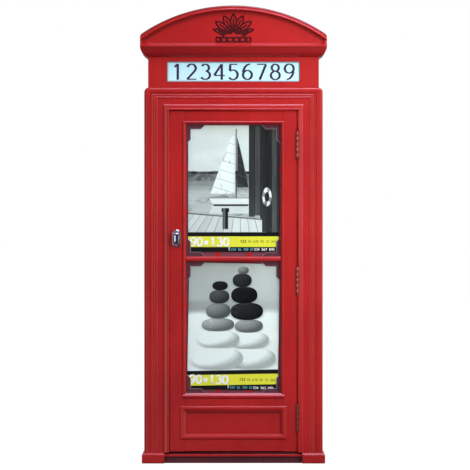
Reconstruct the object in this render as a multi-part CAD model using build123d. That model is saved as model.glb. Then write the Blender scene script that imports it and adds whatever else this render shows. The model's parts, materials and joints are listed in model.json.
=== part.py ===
from build123d import *
import math
import os

# A small wall cabinet for keys in the shape of a telephone booth, with a hinged door that
# holds two picture cards. Sizes are in millimetres. X runs to the right, Z up, and the front
# faces -Y. Depths are measured forward from the wall and turned into Y by across().

os.makedirs("parts", exist_ok=True)

# ---------------------------------------------------------------- driving dimensions
# Carcass boards
BODY_W = 176.0            # width over the two pilasters
BODY_H = 370.5            # floor to the top of the body
BACK_T = 3.0              # back panel
BACK_INSET = 1.0          # back panel inside the outline of the cabinet
SIDE_T = 6.0              # side boards
SIDE_D = 31.0             # depth of the side boards
FLOOR_T = 6.0
FLOOR_RAISE = 4.0         # floor board above the ground
TOP_T = 4.0

# Moulded face frame: two pilasters and the head, measured outward from the door opening
LIP_R = 1.0               # half-round lip beside the door
LIP_H = 9.5               # height of its centre
LIP_STEP = 0.5            # height of the slope behind the lip above that centre
SLOPE_FALL = 0.6          # fall of the slope
OVOLO_W = 1.7             # quarter round from the slope down to the flat
BOLECTION_W = 6.2         # lip, slope and quarter round together
FLAT_W = 5.2
FLAT_H = 8.4
REED_COUNT = 3
REED_W = 2.3
REED_RISE = 0.45
BAND_H = 9.5              # plain outer band
SIDE_BAND_W = 6.3         # its width on the pilasters
HEAD_BAND_W = 4.2         # and on the head
FRAME_CORNER_R = 4.5      # round shoulder of the body
FRAME_EDGE_R = 2.4

# Plinth, sill and kick board
PLINTH_H = 10.8
PLINTH_OUT = 2.3          # plinth beyond the pilasters
PLINTH_OGEE = 3.0         # height of its moulded top edge
PLINTH_REVEAL = 0.4       # plinth's top edge beyond the pilasters
PLINTH_FOOT_R = 1.2       # rounded foot
PLINTH_BLOCK_W = 20.0     # block under each pilaster, inward from the pilaster's outer face
SILL_T = 3.2
SILL_DROP = 1.1           # sill below the top of the plinth blocks
SILL_SETBACK = 1.0        # sill behind the outer band of the pilasters
SILL_FALL = 0.5
SILL_EDGE_R = 0.5
KICK_T = 6.0

# Frieze with the lit sign
FRIEZE_INSET = 3.8        # each side of the frieze in from the body
FRIEZE_H = 30.0
FRIEZE_SETBACK = 2.0      # behind the outer band of the pilasters
FASCIA_T = 6.0
CHEEK_T = 6.0
SIGN_SIDE = 18.7          # fascia at each end of the sign opening
SIGN_SILL = 5.8           # under it
SIGN_HEAD = 4.4           # and over it, to the cornice
SIGN_CORNER_R = 1.2
SIGN_LAP = 2.5            # pane behind the edge of its opening
SIGN_RECESS = 1.5
SIGN_T = 2.0

# Cornice and dome
CORNICE_H = 13.8
CORNICE_OUT = 7.8
CORNICE_FOOT = 0.6        # small fillet where the cornice leaves the frieze
WEATHERING_H = 3.0        # sloped top of the cornice
NOSE_H = 0.9              # upright nose under it
NOSE_STEP = 0.8           # front moulding behind the nose
DECK_T = 3.0
DOME_SIDE_H = 8.2         # upright side of the dome
DOME_RISE = 28.7
DOME_CORNER_R = 5.0
ROOF_T = 2.6
TYMPANUM_T = 5.0
TYMPANUM_OUT = 2.5        # tympanum in front of the frieze
RIM_W = 5.2
RIM_H = 3.6
RIM_FIELD_H = 2.2         # flat part of the rim, outside its bead
RIM_BEAD_R = 1.3
RIM_EDGE_R = 1.6
ARCH_SPARE = 3.0          # degrees the arch runs on before its ends are cut

# Door
DOOR_T = 8.0
LEAF_T = 0.45             # the side gaps hold what stands out of two hinge leaves
LEAF_SUNK = 0.25          # each leaf let into the wood
LEAF_PLAY = 0.2           # between the two leaves
LEAF_END_PLAY = 0.1       # round a leaf in its pocket
DOOR_TOP_GAP = 0.8
DOOR_BOTTOM_GAP = 2.0
DOOR_ARRIS = 0.6          # softened edges
STILE_W = 14.3
TOP_RAIL_H = 11.3
LOWER_RAIL_H = 15.2
BOTTOM_RAIL_H = 15.7
PANEL_H = 24.7            # panel opening between the two lower rails
PANEL_T = 3.0
PANEL_SETBACK = 2.3       # panel face behind the door face
GROOVE_D = 3.0
GROOVE_PLAY = 0.15
MOULDING_LAP = 1.6        # window moulding over the stiles
MOULDING_LIP = 1.9        # and inside the opening
MOULDING_H = 1.2          # crest of a moulding above the door's face
CREST_SIGHT = 0.5         # its sight line below the face, as a share of the crest
CREST_BROW_X = 0.45       # end of the slope, as a share of the width
CREST_BROW_H = 0.8
CREST_TOP_X = 0.72
CREST_EDGE_H = 0.35
WINDOW_SILL_W = 5.2       # wider moulding under the windows
PANEL_MOULDING_LAP = 4.1
PANEL_MOULDING_LIP = 1.6
PANEL_MOULDING_H = 1.0    # crest of the flatter moulding round the panel

# Glazing bar and picture plates
MID_RAIL_W = 5.4
MID_RAIL_DROP = 0.4       # glazing bar below the middle of the windows
MID_RAIL_PROUD = 0.5
MID_WEB_T = 2.0
PLATE_T = 0.8
PLATE_DEPTH = 5.0         # plate face behind the door face
PLATE_PLAY = 0.3
MUNTIN_W = 4.4
MUNTIN_H = 0.6
TAB_T = 0.5
TAB_ARM_W = 4.4
TAB_ARM_L = 19.0
TAB_PLAY = 0.1            # card to the underside of the tabs
CARD_SIDE_PLAY = 1.85     # a 9 x 13 cm photograph in a window of the upper or lower light
CARD_END_PLAY = 2.15
CARD_T = 0.35
UPPER_CARD_RISE = 2.0     # each card above the middle of its window
LOWER_CARD_RISE = 0.85
CARD_TILT = 1.0           # lower card sits slightly crooked, degrees
RETAINER_W = 3.0
RETAINER_SETBACK = 0.4

# Hinges
HINGE_TOP_DROP = 33.2     # centre of the top hinge below the door's top
HINGE_FOOT_RISE = 33.3    # centre of the bottom hinge above the door's foot
HINGE_MIDDLE_RISE = 0.5   # middle hinge above the mean of the other two
HINGE_L = 27.0
KNUCKLES = 5
KNUCKLE_R = 1.25
KNUCKLE_GAP = 0.15
PIN_R = 0.6
PIN_FIT = 0.05
PIN_HEAD = 0.5
PIN_HEAD_R = 1.0
LEAF_D = 7.0
HINGE_PROUD = 1.3         # hinge axis in front of the door face
HINGE_CLEAR = 0.25
HINGE_SCREW_INSET = 5.0   # from each end of a leaf

# Small screws
SCREW_R = 0.7
SCREW_HEAD_R = 1.2
SCREW_HEAD_H = 0.45
SCREW_L = 6.0
SCREW_PLAY = 0.05

# Handle and latch
HANDLE_INSET = 6.6        # spindle in from the door's edge
HANDLE_RISE = 20.4        # spindle above the glazing bar
HANDLE_PLATE_W = 8.6
HANDLE_PLATE_H = 17.6
HANDLE_PLATE_T = 1.2
HANDLE_PLATE_EDGE_R = 0.5
HANDLE_SCREW_INSET = 2.1  # from each end of the plate
SPINDLE_R = 2.05
SPINDLE_FIT = 0.05
SPINDLE_HOLE_PLAY = 0.35
BOSS_R = 3.2
BOSS_H = 1.0
BOSS_GAP = 0.1
GRIP_W = 2.8
GRIP_H = 11.4
GRIP_OUT = 7.0
GRIP_EDGE_R = 1.0
CAM_T = 1.8
CAM_W = 6.0
CAM_L = 12.0
CAM_BOSS_RIM = 1.0        # boss beyond the arm's half width
CAM_CLEAR = 0.5           # cam behind the pilaster when it is turned
CAM_BOSS_GAP = 0.1
CAM_SQUARE = 2.8
CAM_SQUARE_PLAY = 0.1
STUD_R = 1.1
NUT_FLATS = 4.4
NUT_T = 2.0
STUD_SHOW = 0.5

# Magnetic catch
CATCH_RISE = 108.3        # catch above the door's foot
CATCH_H = 15.0
CATCH_EAR_W = 15.0
CATCH_EAR_T = 3.0
CATCH_CASE_W = 11.0
CATCH_CASE_D = 8.0
CATCH_STEP = 2.0          # ear and case overlap by this much
CATCH_GAP = 0.1
CATCH_SCREW_INSET = 3.0   # from the two ends of the ear
MAGNET_W = 8.0
MAGNET_H = 10.0
MAGNET_D = 5.0
MAGNET_PLAY = 0.05
CATCH_CORNER_R = 1.0
STRIKE_W = 8.4
STRIKE_H = 16.0
STRIKE_T = 0.8
STRIKE_CORNER_R = 1.0

# Key hooks
RAIL_END_GAP = 12.0       # rail's ends in from the side boards
RAIL_H = 16.0
RAIL_T = 6.0
RAIL_EDGE_R = 1.5
UPPER_RAIL_DROP = 70.5    # upper rail below the top of the body
RAIL_PITCH = 130.0        # lower rail below the upper one
HOOK_COUNT = 3
HOOK_END = 25.0           # first hook in from the rail's end
HOOK_R = 1.1
HOOK_REACH = 12.0
HOOK_RISE = 9.5
HOOK_BEND_R = 2.4
HOOK_FLANGE_R = 2.6
HOOK_FLANGE_T = 0.8
HOOK_ROOT = 4.5
HOOK_FIT = 0.05

# Wall fixing
WALL_HOLE_R = 2.5
WALL_HOLE_PITCH = 110.0
WALL_HOLE_DROP = 40.5     # below the top of the body

# ---------------------------------------------------------------- places worked out from them
FACE_BACK = BACK_T + SIDE_D                     # back of the face frame and of the door
BAND_FACE = FACE_BACK + BAND_H
DOOR_FACE = FACE_BACK + DOOR_T
FRIEZE_FACE = BAND_FACE - FRIEZE_SETBACK
TYMPANUM_FACE = FRIEZE_FACE + TYMPANUM_OUT
CORNICE_FACE = FRIEZE_FACE + CORNICE_OUT
HANDLE_FACE = DOOR_FACE + HANDLE_PLATE_T + BOSS_GAP + BOSS_H
DEPTH = max(HANDLE_FACE + GRIP_OUT, CORNICE_FACE, TYMPANUM_FACE + RIM_H, BAND_FACE + PLINTH_OUT)

REEDS_W = REED_COUNT * REED_W
MOULDED_W = BOLECTION_W + FLAT_W + REEDS_W
FRAME_W = MOULDED_W + SIDE_BAND_W
HEAD_W = MOULDED_W + HEAD_BAND_W
BODY_X = BODY_W / 2
SIDE_X = BODY_X - SIDE_T
OPENING_X = BODY_X - FRAME_W
OPENING_TOP = BODY_H - HEAD_W
PLINTH_INNER = BODY_X - PLINTH_BLOCK_W

FRIEZE_X = BODY_X - FRIEZE_INSET
CORNICE_Z = BODY_H + FRIEZE_H
DOME_Z = CORNICE_Z + CORNICE_H
DECK_Z = DOME_Z - DECK_T
DOME_X = FRIEZE_X + CORNICE_OUT
NOSE_Z = DOME_Z - WEATHERING_H
SPRING_Z = DOME_Z + DOME_SIDE_H
DOME_R = (DOME_X ** 2 + DOME_RISE ** 2) / (2 * DOME_RISE)
DOME_CENTRE_Z = SPRING_Z + DOME_RISE - DOME_R
SIGN_W = 2 * (FRIEZE_X - SIGN_SIDE)
SIGN_H = FRIEZE_H - SIGN_SILL - SIGN_HEAD
SIGN_Z = BODY_H + SIGN_SILL

SILL_Z = PLINTH_H - SILL_DROP
LEAF_OUT = LEAF_T - LEAF_SUNK
DOOR_GAP = 2 * LEAF_OUT + LEAF_PLAY
DOOR_X = OPENING_X - DOOR_GAP
DOOR_Z0 = SILL_Z + DOOR_BOTTOM_GAP
DOOR_Z1 = OPENING_TOP - DOOR_TOP_GAP
STILE_X = DOOR_X - STILE_W
PANEL_Z0 = DOOR_Z0 + BOTTOM_RAIL_H
LOWER_RAIL_Z = PANEL_Z0 + PANEL_H
LOWER_RAIL_TOP = LOWER_RAIL_Z + LOWER_RAIL_H
TOP_RAIL_Z = DOOR_Z1 - TOP_RAIL_H
PANEL_FACE = DOOR_FACE - PANEL_SETBACK
WINDOW_X = STILE_X - MOULDING_LIP
WINDOW_Z0 = LOWER_RAIL_TOP + MOULDING_LIP
WINDOW_Z1 = TOP_RAIL_Z - MOULDING_LIP
MID_RAIL_Z = (WINDOW_Z0 + WINDOW_Z1) / 2 - MID_RAIL_DROP
MID_Z0 = MID_RAIL_Z - MID_RAIL_W / 2
MID_Z1 = MID_RAIL_Z + MID_RAIL_W / 2
PLATE_FACE = DOOR_FACE - PLATE_DEPTH
PLATE_BACK = PLATE_FACE - PLATE_T
CARD_W = 2 * (WINDOW_X - CARD_SIDE_PLAY)
CARD_H = MID_Z0 - WINDOW_Z0 - 2 * CARD_END_PLAY
CARD_BACK = PLATE_FACE + MUNTIN_H
TAB_BACK = CARD_BACK + CARD_T + TAB_PLAY

HINGE_X = OPENING_X - DOOR_GAP / 2
HINGE_D = DOOR_FACE + HINGE_PROUD
HINGE_TOP_Z = DOOR_Z1 - HINGE_TOP_DROP
HINGE_FOOT_Z = DOOR_Z0 + HINGE_FOOT_RISE
HINGE_MIDDLE_Z = (HINGE_TOP_Z + HINGE_FOOT_Z) / 2 + HINGE_MIDDLE_RISE
HINGE_ZS = {"top": HINGE_TOP_Z, "middle": HINGE_MIDDLE_Z, "bottom": HINGE_FOOT_Z}
HINGE_SCREW_SPREAD = HINGE_L - 2 * HINGE_SCREW_INSET
LEAF_FRONT = HINGE_D - KNUCKLE_R - HINGE_CLEAR
LEAF_BACK = LEAF_FRONT - LEAF_D
LEAF_SCREW_D = LEAF_BACK + LEAF_D / 2

HANDLE_X = -(DOOR_X - HANDLE_INSET)
HANDLE_Z = MID_RAIL_Z + HANDLE_RISE
HANDLE_SCREW_SPREAD = HANDLE_PLATE_H - 2 * HANDLE_SCREW_INSET
CAM_FACE = FACE_BACK - CAM_CLEAR
CAM_BACK = CAM_FACE - CAM_T
CAM_BOSS_R = CAM_W / 2 + CAM_BOSS_RIM

STRIKE_BACK = FACE_BACK - STRIKE_T
CATCH_FACE = STRIKE_BACK - CATCH_GAP
CATCH_Z = DOOR_Z0 + CATCH_RISE
CATCH_SCREW_SPREAD = CATCH_H - 2 * CATCH_SCREW_INSET
STRIKE_X = -(DOOR_X - DOOR_ARRIS - STRIKE_W / 2)
CATCH_SCREW_X = -(OPENING_X + CATCH_EAR_W / 2)

RAIL_FACE = BACK_T + RAIL_T
RAIL_W = 2 * (SIDE_X - RAIL_END_GAP)
HOOK_PITCH = (RAIL_W - 2 * HOOK_END) / (HOOK_COUNT - 1)
UPPER_RAIL_Z = BODY_H - UPPER_RAIL_DROP
RAIL_ZS = {"upper": UPPER_RAIL_Z, "lower": UPPER_RAIL_Z - RAIL_PITCH}
WALL_HOLE_Z = BODY_H - WALL_HOLE_DROP


# ---------------------------------------------------------------- helpers
def across(depth):
    """Y of a point that lies this far in front of the wall."""
    return DEPTH / 2 - depth


def block(x0, x1, d0, d1, z0, z1):
    """A plain board between two X, two depths and two heights."""
    centre = ((x0 + x1) / 2, (across(d0) + across(d1)) / 2, (z0 + z1) / 2)
    return Pos(*centre) * Box(abs(x1 - x0), abs(d1 - d0), abs(z1 - z0))


def slab(face, d0, d1):
    """A face drawn in X and Z, given thickness from depth d0 forward to d1."""
    return extrude(Plane.XZ.offset(-across(d0)) * face, amount=d1 - d0)


def along_x(face, x0, x1):
    """A section drawn as (Y, Z), run from x0 to x1."""
    return extrude(Plane.YZ.offset(x0) * face, amount=x1 - x0)


def along_z(face, z0, z1):
    """A section drawn as (X, Y), run from z0 up to z1."""
    return extrude(Plane.XY.offset(z0) * face, amount=z1 - z0)


def rod(x, z, d0, d1, radius):
    """A round bar that points at the viewer."""
    return slab(Pos(x, z) * Circle(radius), d0, d1)


def cross_rod(d, z, x0, x1, radius):
    """A round bar that lies along X."""
    return along_x(Pos(across(d), z) * Circle(radius), x0, x1)


def flipped(part):
    """The same piece on the other side of the cabinet."""
    return mirror(part, about=Plane.YZ)


def beyond(part, x, z, along):
    """What lies above a plane square to the face, through (x, z) along a direction (dx, dz)."""
    normal = (-along[1], 0, along[0])
    return split(part, bisect_by=Plane(origin=(x, 0, z), z_dir=normal), keep=Keep.TOP)


def closed(*edges):
    """A face inside a chain of edges."""
    return make_face(Curve() + list(edges))


def save(name, shape):
    """Write one node."""
    export_step(shape, f"parts/{name}.step")


# ---------------------------------------------------------------- carcass
def body_face(inset, base_z):
    """Outline of the body from base_z up, drawn in by an inset, with its two round shoulders."""
    height = BODY_H - inset - base_z
    outline = Pos(0, base_z + height / 2) * Rectangle(2 * (BODY_X - inset), height)
    shoulders = [v for v in outline.vertices() if v.Y > base_z + height / 2]
    return fillet(shoulders, FRAME_CORNER_R - inset)


def side_board():
    """Right side board, floor to the underside of the top board."""
    board = block(SIDE_X, BODY_X, BACK_T, FACE_BACK, 0, BODY_H - TOP_T)
    return board & slab(body_face(0, 0), BACK_T, FACE_BACK)


def floor_board():
    return block(-SIDE_X, SIDE_X, BACK_T, FACE_BACK, FLOOR_RAISE, FLOOR_RAISE + FLOOR_T)


def top_board():
    """Top board, its ends rounded to the shoulders of the body."""
    board = block(-BODY_X, BODY_X, BACK_T, FACE_BACK, BODY_H - TOP_T, BODY_H)
    return board & slab(body_face(0, 0), BACK_T, FACE_BACK)


def dome_face(inset, base_z):
    """Outline of the dome's front, drawn in by an inset, standing on base_z."""
    half = DOME_X - inset
    radius = DOME_R - inset
    spring = DOME_CENTRE_Z + math.sqrt(radius ** 2 - half ** 2)
    crown = DOME_CENTRE_Z + radius
    outline = closed(
        Line((-half, base_z), (-half, spring)),
        ThreePointArc((-half, spring), (0, crown), (half, spring)),
        Line((half, spring), (half, base_z)),
        Line((half, base_z), (-half, base_z)),
    )
    corners = [v for v in outline.vertices() if abs(v.Y - spring) < 1e-6]
    return fillet(corners, DOME_CORNER_R - inset)


def back_panel():
    """One board behind the body, the frieze and the dome, with two holes for wall screws."""
    frieze_h = DOME_Z - BODY_H + BACK_INSET
    frieze = Pos(0, DOME_Z - frieze_h / 2) * Rectangle(2 * (FRIEZE_X - BACK_INSET), frieze_h)
    outline = body_face(BACK_INSET, 0) + frieze + dome_face(BACK_INSET, DOME_Z - BACK_INSET)
    board = slab(outline, 0, BACK_T)
    for x in (-WALL_HOLE_PITCH / 2, WALL_HOLE_PITCH / 2):
        board -= rod(x, WALL_HOLE_Z, 0, BACK_T, WALL_HOLE_R)
    return board


# ---------------------------------------------------------------- face frame
def frame_edges(width):
    """Moulded section of the face frame as (distance from the door opening, height)."""
    slope_h = LIP_H + LIP_STEP
    lip = (LIP_R + math.sqrt(LIP_R ** 2 - LIP_STEP ** 2), slope_h)
    brow = (BOLECTION_W - OVOLO_W, slope_h - SLOPE_FALL)
    slope = (brow[0] - lip[0], -SLOPE_FALL)
    reed_x = BOLECTION_W + FLAT_W
    band_x = reed_x + REEDS_W
    edges = [
        Line((0, 0), (0, LIP_H)),
        ThreePointArc((0, LIP_H), (LIP_R, LIP_H + LIP_R), lip),
        Line(lip, brow),
        TangentArc(brow, (BOLECTION_W, FLAT_H), tangent=slope),
        Line((BOLECTION_W, FLAT_H), (reed_x, FLAT_H)),
    ]
    for index in range(REED_COUNT):
        start = reed_x + index * REED_W
        middle = (start + REED_W / 2, FLAT_H + REED_RISE)
        edges.append(ThreePointArc((start, FLAT_H), middle, (start + REED_W, FLAT_H)))
    edges += [
        Line((band_x, FLAT_H), (band_x, BAND_H)),
        Line((band_x, BAND_H), (width, BAND_H)),
        Line((width, BAND_H), (width, 0)),
        Line((width, 0), (0, 0)),
    ]
    return edges


def face_frame():
    """Head and two pilasters, mitred at 45 degrees, with a round shoulder and a soft edge."""
    section = closed(*frame_edges(FRAME_W))
    head_section = closed(*frame_edges(HEAD_W))
    upright = Pos(OPENING_X, across(FACE_BACK)) * mirror(section, about=Plane.XZ)
    upright = along_z(upright, PLINTH_H, BODY_H)
    turned = Pos(across(FACE_BACK), OPENING_TOP) * Rot(0, 0, 90) * head_section
    head = along_x(turned, -BODY_X, BODY_X)
    right = beyond(upright, OPENING_X, OPENING_TOP, (-1, -1))
    head = beyond(head, OPENING_X, OPENING_TOP, (1, 1))
    head = beyond(head, -OPENING_X, OPENING_TOP, (1, -1))
    whole = right + head + flipped(right)
    whole &= slab(body_face(0, PLINTH_H), FACE_BACK, DEPTH)
    rim = [e for e in whole.edges() if on_outer_edge(e)]
    return fillet(rim, FRAME_EDGE_R)


def on_outer_edge(edge):
    """True for an edge of the band's face that lies on the outline of the frame."""
    middle = edge @ 0.5
    ends = (edge @ 0, edge @ 1)
    at_face = all(abs(p.Y - across(BAND_FACE)) < 1e-4 for p in (*ends, middle))
    corner_x = BODY_X - FRAME_CORNER_R
    corner_z = BODY_H - FRAME_CORNER_R
    on_side = abs(abs(middle.X) - BODY_X) < 1e-4
    on_top = abs(middle.Z - BODY_H) < 1e-4
    past = abs(middle.X) > corner_x and middle.Z > corner_z
    return at_face and (on_side or on_top or past)


def split_frame(whole):
    """Cut the frame at its mitres into the right pilaster and the head."""
    right_half = split(whole, bisect_by=Plane.YZ, keep=Keep.TOP)
    right = beyond(right_half, OPENING_X, OPENING_TOP, (-1, -1))
    head = beyond(whole, OPENING_X, OPENING_TOP, (1, 1))
    head = beyond(head, -OPENING_X, OPENING_TOP, (1, -1))
    return right, head


def leaf_pocket(z, x, direction, front):
    """Cutter for the seat of a hinge leaf, let into an edge at x along a direction."""
    half = HINGE_L / 2 + LEAF_END_PLAY
    return block(x, x + direction * LEAF_SUNK, LEAF_BACK - LEAF_END_PLAY, front, z - half, z + half)


def hinge_gain(part, z):
    """Pockets in the edge of the right pilaster for the barrel and the leaf of a hinge."""
    half = HINGE_L / 2 + PIN_HEAD + HINGE_CLEAR
    width = HINGE_X + KNUCKLE_R + HINGE_CLEAR - OPENING_X
    part -= leaf_pocket(z, OPENING_X, 1, LEAF_FRONT)
    return part - block(OPENING_X, OPENING_X + width, LEAF_FRONT, DEPTH, z - half, z + half)


def screw_hole_x(part, z, x, direction):
    """Two pilot holes for the screws of a hinge leaf, run from x in a direction along X."""
    for side in (-0.5, 0.5):
        height = z + side * HINGE_SCREW_SPREAD
        part -= cross_rod(LEAF_SCREW_D, height, x, x + direction * SCREW_L, SCREW_R + SCREW_PLAY)
    return part


def right_pilaster(part):
    for z in HINGE_ZS.values():
        part = hinge_gain(part, z)
        part = screw_hole_x(part, z, OPENING_X, 1)
    return part


def left_pilaster(part):
    """Left pilaster, drilled at the back for the magnetic catch."""
    for side in (-0.5, 0.5):
        z = CATCH_Z + side * CATCH_SCREW_SPREAD
        part -= rod(CATCH_SCREW_X, z, FACE_BACK, FACE_BACK + SCREW_L - CATCH_EAR_T, SCREW_R + SCREW_PLAY)
    return part


# ---------------------------------------------------------------- plinth, sill and kick board
def plinth_edges(base, out):
    """Section of the plinth from its inner line at base to the ogee on its outer edge."""
    face = base + out
    top = base + PLINTH_REVEAL
    middle = (face + top) / 2
    shoulder = PLINTH_H - PLINTH_OGEE
    half = shoulder + PLINTH_OGEE / 2
    foot = face - PLINTH_FOOT_R
    reach = PLINTH_FOOT_R * math.sqrt(0.5)
    return [
        Line((0, 0), (foot, 0)),
        ThreePointArc((foot, 0), (foot + reach, PLINTH_FOOT_R - reach), (face, PLINTH_FOOT_R)),
        Line((face, PLINTH_FOOT_R), (face, shoulder)),
        TangentArc((face, shoulder), (middle, half), tangent=(0, 1)),
        TangentArc((top, PLINTH_H), (middle, half), tangent=(0, -1)),
        Line((top, PLINTH_H), (0, PLINTH_H)),
        Line((0, PLINTH_H), (0, 0)),
    ]


def plinth_block():
    """Right plinth block with its return along the side board, moulded on both outer faces."""
    from_front = slab(closed(*plinth_edges(BODY_X, PLINTH_OUT)), BACK_T, DEPTH)
    depth_section = closed(*plinth_edges(BAND_FACE, PLINTH_OUT))
    from_side = along_x(Pos(across(0), 0) * mirror(depth_section, about=Plane.YZ), 0, DOME_X)
    whole = from_front & from_side
    whole -= block(0, PLINTH_INNER, 0, DEPTH, 0, PLINTH_H)
    return whole - block(0, BODY_X, 0, FACE_BACK, 0, PLINTH_H)


def sill():
    """Threshold under the door: a square nosing with eased edges and a slight fall to the front."""
    under = SILL_Z - SILL_T
    back = across(FACE_BACK)
    nose = across(BAND_FACE - SILL_SETBACK)
    outline = Polyline(
        (back, under), (nose, under), (nose, SILL_Z - SILL_FALL), (back, SILL_Z), close=True
    )
    board = along_x(make_face(outline), -PLINTH_INNER, PLINTH_INNER)
    return fillet(board.edges().filter_by(Axis.X).group_by(Axis.Y)[0], SILL_EDGE_R)


def kick_board():
    """Recessed board between the plinth blocks, under the sill."""
    top = SILL_Z - SILL_T
    return block(-PLINTH_INNER, PLINTH_INNER, FACE_BACK, FACE_BACK + KICK_T, 0, top)


# ---------------------------------------------------------------- frieze and sign
def sign_fascia():
    """Front board of the frieze, with the sign opening and a rebate behind it for the pane."""
    board = block(-FRIEZE_X, FRIEZE_X, FRIEZE_FACE - FASCIA_T, FRIEZE_FACE, BODY_H, DECK_Z)
    middle = SIGN_Z + SIGN_H / 2
    opening = Pos(0, middle) * RectangleRounded(SIGN_W, SIGN_H, SIGN_CORNER_R)
    rebate = Pos(0, middle) * Rectangle(SIGN_W + 2 * SIGN_LAP, SIGN_H + 2 * SIGN_LAP)
    board -= slab(opening, FRIEZE_FACE - FASCIA_T, FRIEZE_FACE)
    return board - slab(rebate, FRIEZE_FACE - FASCIA_T, FRIEZE_FACE - SIGN_RECESS)


def frieze_cheek():
    """Right side of the frieze, behind the fascia."""
    return block(FRIEZE_X - CHEEK_T, FRIEZE_X, BACK_T, FRIEZE_FACE - FASCIA_T, BODY_H, DECK_Z)


def sign_pane():
    """Opal pane that shows the sign."""
    half_w = SIGN_W / 2 + SIGN_LAP
    face = FRIEZE_FACE - SIGN_RECESS
    return block(-half_w, half_w, face - SIGN_T, face, SIGN_Z - SIGN_LAP, SIGN_Z + SIGN_H + SIGN_LAP)


# ---------------------------------------------------------------- cornice and dome
def cornice_section(face, weathered):
    """Cornice profile above the frieze: a fillet and a long ovolo and, in front, a nose and a
    sloped top."""
    foot = face + CORNICE_FOOT
    nose = face + CORNICE_OUT
    brow = (nose - NOSE_STEP, NOSE_Z - NOSE_H) if weathered else (nose, NOSE_Z)
    edges = [
        Line((0, CORNICE_Z), (foot, CORNICE_Z)),
        TangentArc(brow, (foot, CORNICE_Z), tangent=(0, -1)),
    ]
    if weathered:
        edges.append(Line(brow, (nose, brow[1])))
        edges.append(Line((nose, brow[1]), (nose, NOSE_Z)))
    back = face + TYMPANUM_OUT if weathered else nose
    edges.append(Line((nose, NOSE_Z), (back, DOME_Z)))
    edges.append(Line((back, DOME_Z), (0, DOME_Z)))
    edges.append(Line((0, DOME_Z), (0, CORNICE_Z)))
    return closed(*edges)


def cornice():
    """Front moulding and right return, cut from one moulded ring at the 45 degree mitre."""
    right = cornice_section(FRIEZE_X, False)
    both = slab(right + mirror(right, about=Plane.YZ), BACK_T, DEPTH)
    front_section = mirror(cornice_section(FRIEZE_FACE, True), about=Plane.YZ)
    front_run = along_x(Pos(across(0), 0) * front_section, -DOME_X, DOME_X)
    whole = (both & front_run) - block(-FRIEZE_X, FRIEZE_X, 0, FRIEZE_FACE, CORNICE_Z, DOME_Z)
    corner = (FRIEZE_X, across(FRIEZE_FACE), 0)
    right_mitre = Plane(origin=corner, z_dir=(1, 1, 0))
    left_mitre = Plane(origin=(-corner[0], corner[1], 0), z_dir=(-1, 1, 0))
    front = split(whole, bisect_by=right_mitre, keep=Keep.BOTTOM)
    front = split(front, bisect_by=left_mitre, keep=Keep.BOTTOM)
    side = split(whole, bisect_by=right_mitre, keep=Keep.TOP)
    side = split(side, bisect_by=Plane.YZ, keep=Keep.TOP)
    return front, side


def dome_floor():
    """Board that closes the frieze and carries the dome."""
    return block(-FRIEZE_X, FRIEZE_X, BACK_T, FRIEZE_FACE, DECK_Z, DOME_Z)


def dome_roof():
    """Thin board bent over the dome, from the back panel to the face of the tympanum."""
    ring = dome_face(0, DOME_Z) - dome_face(ROOF_T, DOME_Z)
    return slab(ring, BACK_T, TYMPANUM_FACE)


def tympanum():
    """Arched board that fills the front of the dome."""
    return slab(dome_face(ROOF_T, DOME_Z), TYMPANUM_FACE - TYMPANUM_T, TYMPANUM_FACE)


def rim_edges():
    """Rim section as (distance in from the outline, height above the tympanum)."""
    bead_x = RIM_W - 2 * RIM_BEAD_R
    bead_z = RIM_H - RIM_BEAD_R
    return [
        Line((0, 0), (0, RIM_FIELD_H - RIM_EDGE_R)),
        ThreePointArc(
            (0, RIM_FIELD_H - RIM_EDGE_R),
            (RIM_EDGE_R * (1 - math.sqrt(0.5)), RIM_FIELD_H - RIM_EDGE_R * (1 - math.sqrt(0.5))),
            (RIM_EDGE_R, RIM_FIELD_H),
        ),
        Line((RIM_EDGE_R, RIM_FIELD_H), (bead_x, RIM_FIELD_H)),
        Line((bead_x, RIM_FIELD_H), (bead_x, bead_z)),
        ThreePointArc((bead_x, bead_z), (bead_x + RIM_BEAD_R, RIM_H), (RIM_W, bead_z)),
        Line((RIM_W, bead_z), (RIM_W, 0)),
        Line((RIM_W, 0), (0, 0)),
    ]


def arch_rim(cornice_pieces):
    """Arched moulding round the dome's front, and two upright margins below its ends."""
    silhouette = slab(dome_face(0, NOSE_Z), TYMPANUM_FACE, DEPTH)
    crown = Rot(0, 0, -90) * mirror(closed(*rim_edges()), about=Plane.XZ)
    crown = Plane.YZ * Pos(across(TYMPANUM_FACE), DOME_CENTRE_Z + DOME_R) * crown
    reach = math.degrees(math.asin(DOME_X / DOME_R)) + ARCH_SPARE
    half_arch = revolve(crown, Axis((0, 0, DOME_CENTRE_Z), (0, 1, 0)), reach) & silhouette
    margin_face = TYMPANUM_FACE + RIM_FIELD_H
    margin = block(DOME_X - ROOF_T, DOME_X, TYMPANUM_FACE, margin_face, NOSE_Z, SPRING_Z)
    outer_edge = margin.edges().filter_by(Axis.Z).group_by(Axis.X)[-1].sort_by(Axis.Y)[0]
    within = Pos(0, DOME_CENTRE_Z) * Circle(DOME_R - RIM_W)
    margin = fillet(outer_edge, RIM_EDGE_R) & slab(within, TYMPANUM_FACE, DEPTH)
    for piece in cornice_pieces:
        half_arch -= piece
        margin -= piece
    return Compound(children=[half_arch + flipped(half_arch), margin, flipped(margin)])


# ---------------------------------------------------------------- door frame
def softened(board):
    """A board with its four long front and back arrises eased."""
    upright = board.bounding_box().size.Z > board.bounding_box().size.X
    axis = Axis.Z if upright else Axis.X
    return fillet(board.edges().filter_by(axis).group_by(Axis.Y)[0], DOOR_ARRIS)


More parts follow.
